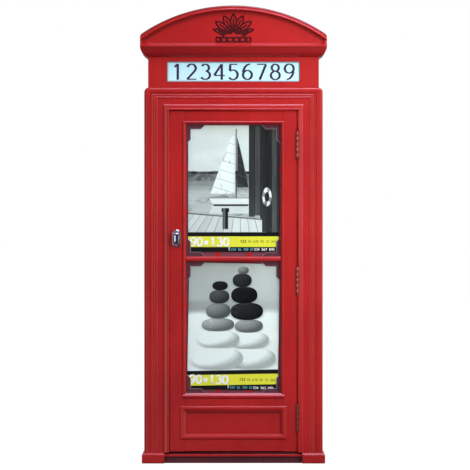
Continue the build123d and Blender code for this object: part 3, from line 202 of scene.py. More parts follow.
class Finish:
    """One material, or the room, and the calls that fill it. Places and sizes are millimetres."""

    def __init__(self, name, kind="Material"):
        owners = {"Material": bpy.data.materials, "World": bpy.data.worlds}
        self.kind = kind
        self.owner = owners[kind].new(name)
        self.owner.use_nodes = True
        self.tree = self.owner.node_tree
        self.tree.nodes.clear()

    def node(self, kind, settings=None, sockets=None, out=0):
        """Any shader node: its settings, then a number or a link for each named socket."""
        made = self.tree.nodes.new(f"ShaderNode{kind}")
        for key, value in (settings or {}).items():
            setattr(made, key, value)
        for key, value in (sockets or {}).items():
            if isinstance(value, Term):
                self.tree.links.new(value.socket, made.inputs[key])
            else:
                made.inputs[key].default_value = value
        return Term(self, made.outputs[out])

    def close(self, shader):
        """Let the material or the room end in this shader."""
        out = self.tree.nodes.new(f"ShaderNodeOutput{self.kind}")
        self.tree.links.new(shader.socket, out.inputs["Surface"])
        return self.owner

    def shade(self, tone, rough, relief, depth, metal=0, gloss=0.5, coat=(0, 0.03)):
        """Close the material: colour, roughness, a relief this many millimetres deep where it
        goes from 0 to 1, share of metal, plain gloss, and the weight and roughness of a coat."""
        bump = self.node("Bump", None, {"Height": relief, "Distance": depth * MM})
        sockets = {"Base Color": tone, "Roughness": rough, "Normal": bump, "Metallic": metal}
        sockets |= {"Specular IOR Level": gloss, "Coat Weight": coat[0], "Coat Roughness": coat[1]}
        return self.close(self.node("BsdfPrincipled", None, sockets))

    def sum(self, operation, *values):
        return self.node("Math", {"operation": operation}, dict(enumerate(values)))

    def chain(self, operation, first, *rest):
        for value in rest:
            first = self.sum(operation, first, value)
        return first

    def least(self, *values):
        return self.chain("MINIMUM", *values)

    def most(self, *values):
        return self.chain("MAXIMUM", *values)

    def length(self, a, b):
        """How long the step (a, b) is."""
        return self.sum("SQRT", a * a + b * b)

    def step(self, value, start, end):
        """0 before start, 1 after end, and a smooth rise between. Start may be the larger."""
        sockets = {"Value": value, "From Min": start, "From Max": end}
        return self.node("MapRange", {"interpolation_type": "SMOOTHSTEP"}, sockets)

    def between(self, value, low, high, soft):
        """1 where value lies between low and high, with soft edges."""
        rise = self.step(value, low - soft, low + soft)
        return rise * self.step(value, high + soft, high - soft)

    def split(self, vector):
        x = self.node("SeparateXYZ", None, {0: vector}, "X")
        return x, x.output("Y"), x.output("Z")

    def place(self):
        """X, Y and Z of the point, in millimetres from the middle of the cabinet's foot."""
        sockets = {0: self.node("TexCoord", out="Object"), "Scale": 1 / MM}
        return self.split(self.node("VectorMath", {"operation": "SCALE"}, sockets))

    def noise(self, point, size, detail=2.0, rough=0.5, bend=0):
        """Cloudy noise from 0 to 1 at the point (x, y, z), with lumps this many mm across."""
        vector = self.node("CombineXYZ", None, dict(zip("XYZ", point)))
        sockets = {"Vector": vector, "Scale": 1 / size, "Detail": detail}
        sockets |= {"Roughness": rough, "Distortion": bend}
        return self.node("TexNoise", None, sockets)

    def mix(self, share, *pair, blend="MIX"):
        """The first colour where share is 0 and the second where it is 1."""
        first, second = (colour(*tone) if isinstance(tone, tuple) else tone for tone in pair)
        settings = {"data_type": "RGBA", "blend_type": blend}
        return self.node("Mix", settings, {0: share, 6: first, 7: second}, 2)


def colour(*tone):
    """A screen colour from 0 to 255 as the linear values a shader takes. Linear ones stay."""
    if len(tone) == 4:
        return tone
    parts = np.array(tone) / 255
    linear = np.where(parts <= 0.04045, parts / 12.92, ((parts + 0.055) / 1.055) ** 2.4)
    return (*linear.tolist(), 1.0)


def begin(name):
    """A new finish, and the place of its points as (x, y, z)."""
    f = Finish(name)
    return f, f.place()


def dress(material, *names):
    """Give a finish to parts of the loaded model."""
    for name in names:
        for slot in nodes[name].material_slots:
            slot.material = material


print("ready to mix paint")

# %% [markdown]
# ## Paper floor and room
# The floor is matt white paper. For the camera most of it is replaced by plain white, so it meets
# the background without a line and keeps a breath of shadow. A mirror doesn't show it, so chrome
# sees the room all the way down.

# %% Floor
FLOOR_HALF = 6.0
PLAIN_SHARE = 0.9
PAPER_WHITE, PAPER_MATT = 1.15, 0.3
corners = [(x * FLOOR_HALF, y * FLOOR_HALF, 0) for x, y in ((-1, -1), (1, -1), (1, 1), (-1, 1))]
floor_mesh = bpy.data.meshes.new("paper_floor")
floor_mesh.from_pydata(corners, [], [(0, 1, 2, 3)])
link("paper_floor", floor_mesh)


def neutral(value):
    """A neutral colour of this linear value."""
    return (value, value, value, 1.0)


paper = Finish("white_paper")
matt = paper.node("BsdfDiffuse", None, {"Color": neutral(PAPER_MATT)})
path = paper.node("LightPath", out="Is Camera Ray")
plain = {"Color": neutral(1.0), "Strength": PAPER_WHITE}
plain = paper.node("Emission", None, plain)
seen = paper.most(path, path.output("Is Transmission Ray")) * PLAIN_SHARE
sheet = paper.node("MixShader", None, {0: seen, 1: matt, 2: plain})
sockets = {0: path.output("Is Glossy Ray"), 1: sheet, 2: paper.node("BsdfTransparent")}
floor_mesh.materials.append(paper.close(paper.node("MixShader", None, sockets)))
print("floor faces:", len(floor_mesh.polygons))

# %% [markdown]
# A glossy coat shows the room it stands in. The viewer's side is dim and blue, so a face turned to
# the viewer keeps its colour, while a white screen stands at the left and one at the right, since
# chrome needs something bright to show. For matt surfaces the room is brighter behind the cabinet
# than before it, where the lamps do the work.

# %% Room
ROOM_LIGHT, ROOM_BEHIND = neutral(0.13), neutral(0.75)
ROOM_FRONT = (0.02, 0.025, 0.06, 1.0)
ROOM_BACK = neutral(0.3)
SCREENS = [("left", -0.6, -0.12, 1.3), ("right", 0.6, 0.9, 0.6)]
SCREEN_REACH = 0.26
room = Finish("room", "World")
bpy.context.scene.world = room.owner
x, y, z = room.split(room.node("TexCoord", out="Generated"))
behind = room.step(room.sum("MULTIPLY_ADD", z, 1.2, y), -0.6, 0.5)
mirrored = room.mix(behind, ROOM_FRONT, ROOM_BACK)
level_way = room.step(abs(z), SCREEN_REACH, SCREEN_REACH - 0.1)
for side, start, end, strength in SCREENS:
    half = (end - start) / 2
    screen = room.step(abs(x - (start + end) / 2), half, half - 0.06) * level_way
    screen = screen * room.step(y, 0, -0.1)
    mirrored = room.mix(screen, mirrored, neutral(strength))
ray = room.node("LightPath", out="Is Camera Ray")
plain_light = room.mix(room.step(y, 0, 0.6), ROOM_LIGHT, ROOM_BEHIND)
tone = room.mix(ray.output("Is Glossy Ray"), plain_light, mirrored)
tone = room.mix(room.most(ray, ray.output("Is Transmission Ray")), tone, neutral(1.0))
room.close(room.node("Background", None, {"Color": tone}))
print("screens:", [side for side, *_ in SCREENS])

# %% [markdown]
# ## Red enamel
# The joinery is moulded fibreboard under sprayed satin enamel. Such a coat isn't one flat red: it
# dries deeper where it ran thick, the spray leaves a peel like the skin of an orange, and specks of
# dust sit under it. Outside edges are a little paler, partly where the paint drew back while wet and
# partly as a painted highlight. The bevel node finds them: it gives the direction a rounded edge
# would have, and how far that differs from the flat face shows how near an edge is. Shade is
# painted into the colour too: the walls of mouldings and faces turned down are darker, less so on
# the broad outer sides, and a painted shadow lies along the outer edge of the arch, inside its rim
# and under the nose of the cornice.

# %% Enamel
EDGE_R = 0.45
# Share of painted shade on faces turned aside or down.
PAINTED_SHADE = 0.75
OUTER_X = 80.5
FRONT_Y = box_mm("right_pilaster")[0][1]
RED = (188, 30, 27)
RED_DEEP = (174, 24, 23)
RED_PALE = (208, 54, 52)
RIM_W = 5.2
DOME_SIDE_H = 8.2
ARCH_X, _, ARCH_TOP = box_mm("arch_rim")[1]
CORNICE_Z, DOME_Z = foot_and_top("cornice_front")
DOME_RISE = ARCH_TOP - DOME_Z - DOME_SIDE_H
DOME_R = (ARCH_X ** 2 + DOME_RISE ** 2) / (2 * DOME_RISE)
NOSE_Z = DOME_Z - 3.0


def deep_shade(tone):
    """A tone at little more than a third of its strength."""
    return (*(0.38 * value for value in colour(*tone)[:3]), 1.0)


def painted_shadow(f, x, z):
    """Share of painted shadow: two bands of distance from the dome's centre and one of height."""
    up = z - (ARCH_TOP - DOME_R)
    out = DOME_R - f.length(x, up)
    edge = f.step(out, 2.1, 0.7)
    inside = f.step(out, RIM_W - 0.2, RIM_W) * f.step(out, RIM_W + 4.2, RIM_W + 1.2)
    arch = f.most(edge * 0.8, inside * 0.62) * f.step(z, DOME_Z + 1.5, DOME_Z + 3.5)
    under = f.step(z, NOSE_Z - 0.6, NOSE_Z - 1.4) * (0.25 + 0.4 * f.step(z, CORNICE_Z, NOSE_Z))
    return f.most(arch, under * f.step(z, CORNICE_Z - 0.2, CORNICE_Z + 0.5))


def enamel(name, tone, deep, pale, roughness, coat, painted_shade=PAINTED_SHADE):
    """Tone drifting to deep with slow noise and to pale on edges, the pale partly a painted
    highlight; darker by painted shade where the face turns aside or down, and by a painted shadow
    along the arch and under the cornice; the relief is 1.5 mm peel and 0.45 mm dust."""
    f, spot = begin(name)
    x, y, z = spot
    drift = f.noise(spot, 55, 3) + 0.5 * f.noise((x, y, z * 0.12), 6, 2)
    peel = f.noise(spot, 1.5, 1)
    dust = f.step(f.noise(spot, 0.45, 0), 0.74, 0.8)
    rounded = f.node("Bevel", {"samples": 4}, {"Radius": EDGE_R * MM})
    flat = f.node("NewGeometry", out="Normal")
    dot = {"operation": "DOT_PRODUCT"}
    turn = f.node("VectorMath", dot, {0: rounded, 1: flat}, "Value")
    # Paler outside edges: partly paint drawn back, partly a painted edge highlight.
    edge = f.step(turn, 0.985, 0.8) * f.step(f.noise(spot, 4, 3), 0.35, 0.65)
    shade = f.mix(f.step(drift, 0.55, 1.0), tone, deep)
    shade = f.mix(edge * 0.25, shade, pale)
    _, front, up = f.split(f.node("TexCoord", out="Normal"))
    away = f.step(front, -0.42, 0.05)
    broad = f.most(f.step(abs(x), OUTER_X, OUTER_X + 1), f.step(y, FRONT_Y + 9, FRONT_Y + 12))
    # Painted shade on faces turned aside or down, less on the broad outer sides, then the painted
    # shadow.
    thin = f.most(away * (1 - 0.85 * broad), f.step(up, -0.15, -0.75) * 0.8)
    thin = f.most(thin * painted_shade, painted_shadow(f, x, z))
    shade = f.mix(thin, shade, deep_shade(deep))
    rub = roughness + 0.1 * (f.noise(spot, 9, 3) - 0.5) + 0.1 * dust
    return f.shade(shade, rub, peel + 0.6 * dust, 0.01, gloss=0.62, coat=(coat, 0.12))


REDS = (RED, RED_DEEP, RED_PALE)
# Oxblood for the kick board: partly its own darker paint, partly painted shade under the sill.
OXBLOODS = ((106, 40, 46), (86, 34, 46), (132, 60, 68))
# Share of painted shade on the low panel moulding, lighter than elsewhere.
PANEL_SHADE = 0.3
finishes = {"red_paint": enamel("red_enamel", *REDS, 0.3, 0.15)}
finishes["dark_paint"] = enamel("oxblood_enamel", *OXBLOODS, 0.34, 0.15)
panel_red = enamel("panel_enamel", *REDS, 0.3, 0.15, PANEL_SHADE)
print("enamels:", list(finishes))

# %% [markdown]
# ## Hardboard for the back
# The back panel is hardboard with its rough side to the wall. That side carries the print of the
# wire screen it was pressed on, and small steel pins hold it, found by the distance to a row of
# points that repeats up both sides.

# %% Hardboard
BOARD_X, BOARD_BACK, BOARD_TOP = box_mm("back_panel")[1]
PIN_IN, PIN_PITCH, PIN_R = 5.0, 44.0, 1.1
MESH_PITCH = 1.7


def hardboard():
    """Brown fibres, with the relief sin(2 pi x / p) sin(2 pi z / p) on the side to the wall."""
    f, spot = begin("hardboard")
    x, y, z = spot
    fibre = f.noise(spot, 1.0, 5, 0.7)
    flock = f.noise(spot, 9, 3)
    rough_side = f.step(y, BOARD_BACK - 0.2, BOARD_BACK - 0.1)
    turns = 2 * math.pi / MESH_PITCH
    mesh = f.sum("SINE", x * turns) * f.sum("SINE", z * turns) * rough_side
    from_pin = f.sum("PINGPONG", z + PIN_PITCH / 2, PIN_PITCH / 2) - PIN_PITCH / 2
    beside = abs(x) - (BOARD_X - PIN_IN)
    distance = f.length(from_pin, beside)
    pin = f.step(distance, PIN_R + 0.1, PIN_R - 0.1) * rough_side
    dent = f.step(distance, 2 * PIN_R, PIN_R) * rough_side
    tone = f.mix(f.step(fibre, 0.3, 0.7), (120, 82, 54), (164, 122, 84))
    tone = f.mix(f.step(flock, 0.45, 0.8) * 0.45, tone, (104, 70, 46))
    tone = f.mix(dent * 0.35, tone, (70, 48, 34))
    tone = f.mix(pin, tone, (120, 122, 126))
    rough = 0.72 - 0.35 * pin - 0.15 * fibre
    relief = mesh * 0.5 + fibre * 0.7 - dent * 0.8
    return f.shade(tone, rough, relief, 0.12, pin, gloss=0.3)


finishes["back_board"] = hardboard()
print("pins up each side:", int(BOARD_TOP / PIN_PITCH))

# %% [markdown]
# ## Waxed pine
# The hook rails and the frames behind the picture plates are pine. Rings must run along the piece
# and close across it: slow noise, stretched along the length, bends them, and a sine of the bent
# distance draws them.

# %% Pine


def pine():
    """Rings are sin(k (z + bend)), the bend a noise stretched twenty times along x."""
    f, (x, y, z) = begin("waxed_pine")
    bend = f.noise((x * 0.05, y, z), 6, 3)
    rings = f.sum("SINE", (z + 9 * bend + 0.6 * y) * 3.1)
    pore = f.noise((x * 0.06, y, z), 0.35, 3, 0.65)
    late = f.step(rings, 0.15, 0.95)
    tone = f.mix(late, (222, 184, 128), (184, 132, 78))
    tone = f.mix(f.step(pore, 0.62, 0.8) * 0.5, tone, (140, 92, 52))
    rough = 0.46 + 0.12 * pore - 0.08 * late
    return f.shade(tone, rough, pore * 0.6 - late * 0.4, 0.03, coat=(0.1, 0.3))


finishes["rail_wood"] = pine()
print("pine mixed")

# %% [markdown]
# ## Opal pane and picture plates
# The sign is a pane of pale blue opal plastic. The two picture plates are one pressing each, in two
# colours: the flat panes are dark aubergine and the embossed bars between them red, sprayed through
# a mask. The corner tabs were cut after painting, so their edges show bright metal. All are found
# by distance: to a bar's middle, and to the outline of an L with its arms cut at 45 degrees.

# %% Opal
PANE_LAP, SIGN_SHADE_W = 2.5, 2.0


def opal():
    """A milky pane: clouded a little, paler toward the foot, with a painted shadow of deeper blue
    where the distance to the edge of the opening is small, under a clear hard face."""
    f, (x, y, z) = begin("opal_pane")
    foot, top = foot_and_top("sign_pane")
    milk = f.noise((x, y, z), 16, 3)
    tone = f.mix(f.step(z, foot, top), (216, 251, 255), (198, 245, 255))
    tone = f.mix(milk * 0.3, tone, (222, 252, 254))
    side = box_mm("sign_pane")[1][0]
    to_edge = f.least(side - abs(x), z - foot, top - z) - PANE_LAP
    # Painted shadow of the fascia's recess along the edge of the opening.
    tone = f.mix(f.step(to_edge, SIGN_SHADE_W, 0) * 0.85, tone, (108, 140, 166))
    scuff = f.step(f.noise((x * 0.2, y, z), 0.6, 2), 0.62, 0.75)
    return f.shade(tone, 0.24 + 0.12 * scuff, milk, 0.05, coat=(0.3, 0.06))


finishes["sign_opal"] = opal()
print("opal mixed")

# %% Picture plates


def plate_enamel():
    """Aubergine, red within half a bar's width of a bar's middle, bright along the tabs' edges."""
    f, spot = begin("plate_enamel")
    x, y, z = spot
    bars = [abs(abs(x) - WINDOW_X / 3)]
    for foot, top in WINDOWS:
        third = (top - foot) / 3
        bars += [abs(z - (foot + third)), abs(z - (top - third))]
    half = MUNTIN_W / 2
    red_bar = f.step(f.least(*bars), half + 0.12, half - 0.12)
    u = WINDOW_X - abs(x)
    v = f.most(*[f.least(z - foot, top - z) for foot, top in WINDOWS])
    chamfer = (TAB_L - u - v) * math.sqrt(0.5)
    within = f.most(f.least(TAB_W - v, chamfer), f.least(TAB_W - u, chamfer))
    front = box_mm("upper_picture_plate")[0][1]
    lifted = f.step(y, front + 0.25, front + 0.12)
    cut = f.step(abs(within - 0.1), 0.34, 0.16) * lifted
    drift = f.noise(spot, 14, 3)
    tab = f.mix(drift, (106, 58, 70), (88, 46, 58))
    pane = f.mix(drift, (144, 74, 88), (118, 60, 72))
    tone = f.mix(red_bar * (1 - lifted), f.mix(lifted, pane, tab), RED)
    tone = f.mix(cut, tone, (196, 186, 192))
    peel = f.noise(spot, 1.2, 1)
    return f.shade(tone, 0.26 + 0.08 * drift, peel, 0.008, cut * 0.7, coat=(0.3, 0.08))


finishes["pane_enamel"] = plate_enamel()
print("plates sprayed")

# %% [markdown]
# ## Metals and plastic
# The fittings are small, so their finish tells them apart. The hinges are red tombac and darken in
# patches, the hooks are polished, the zinc shows its cloudy crystals, the chrome is bright, and the
# magnet is bare sintered stone in a cream plastic case. One recipe serves all but the hinges: two
# tones, a patch size, a roughness and fine lines from brushing.

# %% Metals
LEVELS = ("bottom", "middle", "top")
KNUCKLE, HINGE_HALF = 27.0 / 5, 15.0


def hinge_metal():
    """Red tombac under a film of lacquer: each knuckle has a painted highlight, pale at its top and
    dull at its foot, and the joints between knuckles are dark, at whole steps of z from the hinge's
    foot. From z 150 mm down it turns darker and browner."""
    f, spot = begin("tombac")
    z = spot[2]
    cloud = f.noise(spot, 2.6, 4, 0.6)
    shade = joint = 0.0
    for level in LEVELS:
        middle = sum(foot_and_top(f"{level}_hinge_frame_leaf")) / 2
        near = f.step(abs(z - middle), HINGE_HALF + 0.5, HINGE_HALF - 0.5)
        share = f.sum("FRACT", (z - middle) / KNUCKLE + 3.5)
        joint = f.most(joint, near * f.step(abs(share - 0.5), 0.42, 0.48))
        # Painted highlight: each knuckle is pale at its top and dull at its foot.
        shade = f.most(shade, near * f.step(share, 0.75, 0.15))
    wear = f.most(f.step(cloud, 0.48, 0.72), shade)
    tone = f.mix(wear, (206, 118, 104), (138, 50, 46))
    tone = f.mix(joint, tone, (60, 22, 22))
    # Darker and browner towards the bottom hinge.
    tone = f.mix(f.step(z, 150, 70) * 0.75, tone, (112, 62, 44))
    return f.shade(tone, 0.36 + 0.12 * wear, cloud - joint, 0.03, 0.3)


def metal(name, tone, dull, patch, roughness, lines, relief):
    """Tone fading to dull in patches; roughness plus noise; lines are noise stretched along z."""
    f, spot = begin(name)
    x, y, z = spot
    cloud = f.noise(spot, patch, 4, 0.6)
    brushed = f.noise((x, y, z * 0.04), 0.12, 2)
    wear = f.step(cloud, 0.48, 0.72)
    rough = roughness + 0.12 * wear + lines * (brushed - 0.5)
    return f.shade(f.mix(wear, tone, dull), rough, brushed * 0.5 + cloud * 0.5, relief, 1.0)


finishes["hinge_brass"] = hinge_metal()
METALS = [
    ("hook_brass", "polished_brass", (226, 182, 96), (190, 144, 70), 6.0, 0.16, 0.1, 0.003),
    ("zinc_steel", "zinc_plate", (196, 200, 206), (150, 156, 164), 2.2, 0.3, 0.08, 0.006),
    ("handle_chrome", "chrome", (244, 246, 250), (226, 230, 240), 5.0, 0.05, 0.02, 0.0008),
    ("magnet_steel", "sintered_magnet", (74, 74, 78), (48, 48, 52), 0.5, 0.55, 0.05, 0.03),
]
for slot, *recipe in METALS:
    finishes[slot] = metal(*recipe)
print("metals:", [slot for slot, *_ in METALS])

# %% Moulded plastic


def moulded_plastic():
    """Cream plastic with the fine grain of a spark-eroded mould."""
    f, spot = begin("cream_plastic")
    grain = f.noise(spot, 0.3, 2)
    yellowed = f.noise(spot, 8, 2)
    tone = f.mix(yellowed, (232, 226, 208), (214, 204, 178))
    return f.shade(tone, 0.5 + 0.1 * grain, grain, 0.02)


finishes["catch_plastic"] = moulded_plastic()
print("plastic mixed")

# %% [markdown]
# ## Printed cards
# Each pocket holds a black and white picture over a yellow band between two black ones. The
# pictures are drawn with sums on two measures: s runs from -1 at the left edge to 1 at the right
# and t from 0 to 1 up the picture. A shape is a mask that is 1 inside it, and a darker or lighter
# grey is mixed in by that mask, back to front, as one paints. Greys are written as the eye sees
# them and turned linear at the end.

# %% Card layout
CARD_W, _, CARD_H = size_mm("upper_card")
PRINT_TINT = (0.88, 1.0, 0.94, 1.0)
CARD_TILT = 1.0
FOOT_BAND, YELLOW_BAND, TOP_BAND = 4.8, 15.3, 19.4
BAND_YELLOW = (232, 234, 66)
BAND_BLACK = (16, 18, 18)


def card_place(place, name, tilt):
    """Distance right of the card's middle and up from its foot, turned with a tilted card."""
    x, _, z = place
    right, up = turned(x, z - sum(foot_and_top(name)) / 2, tilt)
    return right, up + CARD_H / 2


def over(mask, below, above):
    """Paint one grey over another through a mask: below + mask (above - below)."""
    return below + mask * (above - below)


def printed_card(name, node, tilt, picture):
    """The picture above the bands, on coated card with a fine print grain."""
    f, place = begin(name)
    right, height = card_place(place, node, tilt)
    tone = picture(f, right / (CARD_W / 2), (height - TOP_BAND) / (CARD_H - TOP_BAND))
    grain = f.noise((right, 0, height), 0.35, 2)
    tone = f.least(f.most(tone + 0.05 * (grain - 0.5), 0), 1.0)
    tone = f.sum("POWER", tone, 2.2)
    ink = f.node("CombineColor", None, {0: tone, 1: tone, 2: tone})
    ink = f.mix(1.0, ink, PRINT_TINT, blend="MULTIPLY")
    ink = f.mix(f.step(height, TOP_BAND + 0.1, TOP_BAND - 0.1), ink, BAND_BLACK)
    ink = f.mix(f.between(height, FOOT_BAND, YELLOW_BAND, 0.1), ink, BAND_YELLOW)
    dress(f.shade(ink, 0.34 + 0.06 * grain, grain, 0.004, gloss=0.3, coat=(0.1, 0.15)), node)


print("card:", round(CARD_W, 1), "by", round(CARD_H, 1), "mm")

# %% [markdown]
# The upper card shows a sailing boat off a boarded quay, under a bright sky. Sails are the space
# between the mast and a line that falls away from its head, so each is a test of s against t. The
# boards are stripes of s with a random grey each, and the deck's planks are stripes of the slope
# from one far point.

# %% Harbour picture
HORIZON, WATERLINE = 0.55, 0.26
MAST = 0.06
QUAY, BOARD = 0.34, 0.125


def sail(f, across_s, t, foot, head, reach):
    """1 in a triangle: 0 < across_s < reach (1 - q)^0.85, where q rises from 0 at the foot to 1 at
    the head."""
    q = f.least(f.most((t - foot) / (head - foot), 0), 1.0)
    edge = f.sum("POWER", 1 - q, 0.85) * reach
    across = f.step(across_s, 0, 0.012) * f.step(edge - across_s, 0, 0.012)
    return across * f.between(t, foot, head, 0.003)


def boat(f, s, t):
    """Masks of the pale mainsail, of the dark jib and of the hull."""
    main = sail(f, MAST - 0.015 - s, t, 0.36, 0.95, 0.56)
    jib = sail(f, s - MAST - 0.015, t, 0.42, 0.9, 0.26)
    half = 0.4 + (t - WATERLINE) * 1.5
    hull = f.step(half - abs(s - MAST + 0.12), 0, 0.012)
    hull = hull * f.between(t, WATERLINE - 0.015, WATERLINE + 0.065, 0.004)
    return main, jib, hull


def harbour(f, s, t):
    """Sky, hills, water, boat and its reflection, then quay boards, deck and a bollard in front."""
    cloud = f.noise((s, 0.4, t * 3.2), 0.7, 5, 0.55)
    grey = 0.87 + 0.03 * t + 0.05 * f.step(cloud, 0.42, 0.72)
    ridge = f.noise((s, 2.2, 0), 0.45, 4)
    skyline = HORIZON + 0.015 + 0.04 * (ridge - 0.3)
    woods = f.noise((s * 3, 0, t * 9), 0.35, 4)
    shore = f.step(skyline - t, 0, 0.006)
    foot = f.step(t, HORIZON - 0.012, HORIZON)
    grey = over(shore, grey, 0.3 + 0.75 * (woods - 0.3) - 0.2 * foot)
    ripple = f.noise((s, 0, t * 13), 0.42, 4, 0.6)
    swirl = f.noise((s * 0.8, 3.0, t * 5), 0.5, 3, 0.6, 1.5)
    depth = f.step(HORIZON - t, 0.07, 0.2)
    water = 0.56 + 0.22 * depth + 0.26 * (ripple - 0.5) - 0.22 * f.step(swirl, 0.5, 0.7) * depth
    grey = over(f.step(HORIZON - 0.07 - t, -0.01, 0.01), grey, water)
    main, jib, hull = boat(f, s + 0.14 * (ripple - 0.5), 2 * WATERLINE - t - 0.02)
    below = f.step(WATERLINE - t, 0, 0.01)
    grey = over(f.most(main, hull) * below * 0.6, grey, 0.97)
    grey = over(jib * below * 0.6, grey, 0.35)
    main, jib, hull = boat(f, s, t)
    seam = f.between(f.sum("FRACT", t * 11 + s * 1.4), 0, 0.08, 0.03)
    fold = f.noise((s * 2.2, 0.5, t * 1.6), 0.25, 2)
    cloth = 0.99 - 0.16 * seam - 0.1 * f.step(MAST - s, 0.1, 0)
    grey = over(main, grey, cloth - 0.3 * f.step(fold, 0.58, 0.74))
    grey = over(jib, grey, 0.14 + 0.14 * fold + 0.1 * seam)
    side = 0.96 - 0.8 * f.step(t, WATERLINE + 0.004, WATERLINE - 0.002)
    grey = over(hull, grey, side - 0.35 * f.step(t, WATERLINE + 0.054, WATERLINE + 0.058))
    pole = f.between(s, MAST - 0.01, MAST + 0.01, 0.004)
    pole = pole * f.between(t, WATERLINE + 0.06, 0.965, 0.003)
    grey = over(pole, grey, 0.12)
    grey = deck(f, s, t, quay(f, s, t, grey))
    return grey - 0.03 * f.step(abs(s), 0.8, 1.1)


def boards(f, across, seed, gap):
    """A random tone for each whole step of across, and the gap at the start of each."""
    number = f.sum("FLOOR", across) + seed
    chance = f.node("TexWhiteNoise", {"noise_dimensions": "1D"}, {"W": number})
    return chance, f.between(f.sum("FRACT", across), 0, gap, 0.02)


def quay(f, s, t, grey):
    """Upright boards right of QUAY over a dark gap, and a life ring on them."""
    chance, gap = boards(f, (s - QUAY) / BOARD, 3.5, 0.07)
    grain = f.noise((s * 9, 0, t), 0.35, 4, 0.6)
    shadow = f.between(s, 0.6, 0.84, 0.03)
    tone = 0.2 + 0.12 * chance + 0.2 * (grain - 0.5) - 0.14 * shadow + 0.06 * f.step(t, 0.5, 0.1)
    foot = 0.14 - 0.16 * f.step(s, 0.58, 0.62) + 0.02 * chance
    wall = f.step(s, QUAY - 0.004, QUAY + 0.004) * f.step(t, foot, foot + 0.006)
    grey = over(wall, grey, over(gap, tone, 0.1))
    ring_s = (s - 0.74) * 0.86
    ring_t = t - 0.33
    ring = f.between(f.length(ring_s, ring_t), 0.045, 0.088, 0.004)
    bands = f.step(f.sum("SINE", f.sum("ARCTAN2", ring_t, ring_s) * 4), -0.3, -0.1)
    return over(ring, grey, 0.56 + 0.42 * bands + 1.2 * ring_t)


def deck(f, s, t, grey):
    """Planks that run to one far point: stripes of (s - s0) / (t0 - t)."""
    slope = (s - 0.15) / (0.66 - t)
    chance, gap = boards(f, slope * 3.4, 0.5, 0.05)
    grain = f.noise((slope * 9, 0, t * 1.5), 0.5, 4, 0.6)
    tone = 0.82 + 0.1 * chance + 0.16 * (grain - 0.5)
    tone = over(gap, tone, 0.42)
    edge = 0.15 - 0.035 * s
    front = f.step(0.64 - s, 0, 0.02)
    grey = over(f.step(edge - t, 0, 0.005) * front, grey, 0.45)
    grey = over(f.step(edge - 0.012 - t, 0, 0.005) * front, grey, tone)
    post = f.step(0.065 - abs(s + 0.18), 0, 0.01) * f.between(t, 0.03, 0.205, 0.004)
    cap = f.step(0.09 - abs(s + 0.18), 0, 0.015) * f.between(t, 0.19, 0.225, 0.005)
    round_tone = 0.1 + 0.35 * f.step(0.05 - abs(s + 0.205), 0, 0.05)
    return over(f.most(post, cap), grey, round_tone)


printed_card("harbour_card", "upper_card", 0, harbour)
print("upper card printed")

# %% [markdown]
# The lower card is a still life of balanced pebbles. A pebble is an oval with a dome over it, whose
# height gives a direction at each point. That times the direction of the sun is the light on it, as
# for a real stone, and each one shades the stone below.

# %% Pebble picture
PEBBLES = [
    (0.4, 0.105, 0.52, 0.098, 1.14),
    (0.36, 0.275, 0.42, 0.08, 1.1),
    (0.34, 0.41, 0.31, 0.062, 0.6),
    (0.3, 0.548, 0.36, 0.082, 0.16),
    (0.25, 0.7, 0.29, 0.078, 0.1),
    (0.21, 0.838, 0.21, 0.064, 0.2),
    (0.24, 0.932, 0.12, 0.034, 0.55),
    (-0.36, 0.11, 0.56, 0.104, 1.16),
    (-0.32, 0.29, 0.45, 0.082, 1.12),
    (-0.34, 0.428, 0.36, 0.062, 0.66),
    (-0.33, 0.558, 0.27, 0.072, 0.52),
    (-0.3, 0.69, 0.22, 0.064, 0.3),
    (-0.28, 0.792, 0.17, 0.042, 0.13),
]
SUN = (-0.45, 0.62, 0.64)


def pebble(f, s, t, grey, stone):
    """One stone and its shadow over what is behind it. With a and b the steps from its middle in
    radii, the dome is h = sqrt(1 - |a|^2.3 - |b|^2.3) and the light the sum of (a, b, h) SUN."""
    at_s, at_t, wide, high, tone = stone
    a = (s - at_s) / wide
    b = (t - at_t) / high
    out = f.sum("POWER", abs(a), 2.3) + f.sum("POWER", abs(b), 2.3)
    h = f.sum("SQRT", f.most(1 - out, 0))
    light = f.most(a * SUN[0] + b * SUN[1] + h * SUN[2], 0)
    speckle = f.noise((s, at_s, t * 1.4), 0.05, 3, 0.7)
    vein = f.step(abs(f.noise((s * 0.4, at_t * 9, t * 2), 0.35, 3) - 0.5), 0.02, 0)
    lit = tone * (0.64 + 0.46 * light) + 0.08 * (speckle - 0.5) + 0.1 * vein * light
    soft = f.step(out, 1.6, 1.0) * f.step(b, 0.3, -0.9)
    grey = over(soft * 0.3, grey, 0.42)
    return over(f.step(out, 1.03, 0.97), grey, lit)


def pebbles(f, s, t):
    """A blurred sky, sea and pale sand, then the stones from below up."""
    haze = f.noise((s, 1.0, t * 1.6), 0.9, 2)
    side = f.step(s + 0.5 * (t - 0.5), -0.5, 1.1)
    grey = 0.74 + 0.05 * side + 0.16 * (haze - 0.5)
    far = f.noise((s, 0, t * 6), 0.5, 3)
    sea = 0.66 + 0.12 * side + 0.14 * (far - 0.5)
    grey = over(f.step(0.66 - t, -0.02, 0.03), grey, sea)
    grit = f.noise((s, 0, t * 2.4), 0.035, 4, 0.75)
    dune = f.noise((s, 0, t * 5), 0.6, 2)
    sand = 1.0 + 0.1 * (dune - 0.5) + 0.14 * (grit - 0.5)
    grey = over(f.step(0.56 + 0.05 * (dune - 0.5) - t, -0.02, 0.05), grey, sand)
    for stone in PEBBLES:
        grey = pebble(f, s, t, grey, stone)
    return grey - 0.03 * f.step(abs(s), 0.75, 1.1)


printed_card("pebble_card", "lower_card", -CARD_TILT, pebbles)
print("pebbles:", len(PEBBLES))

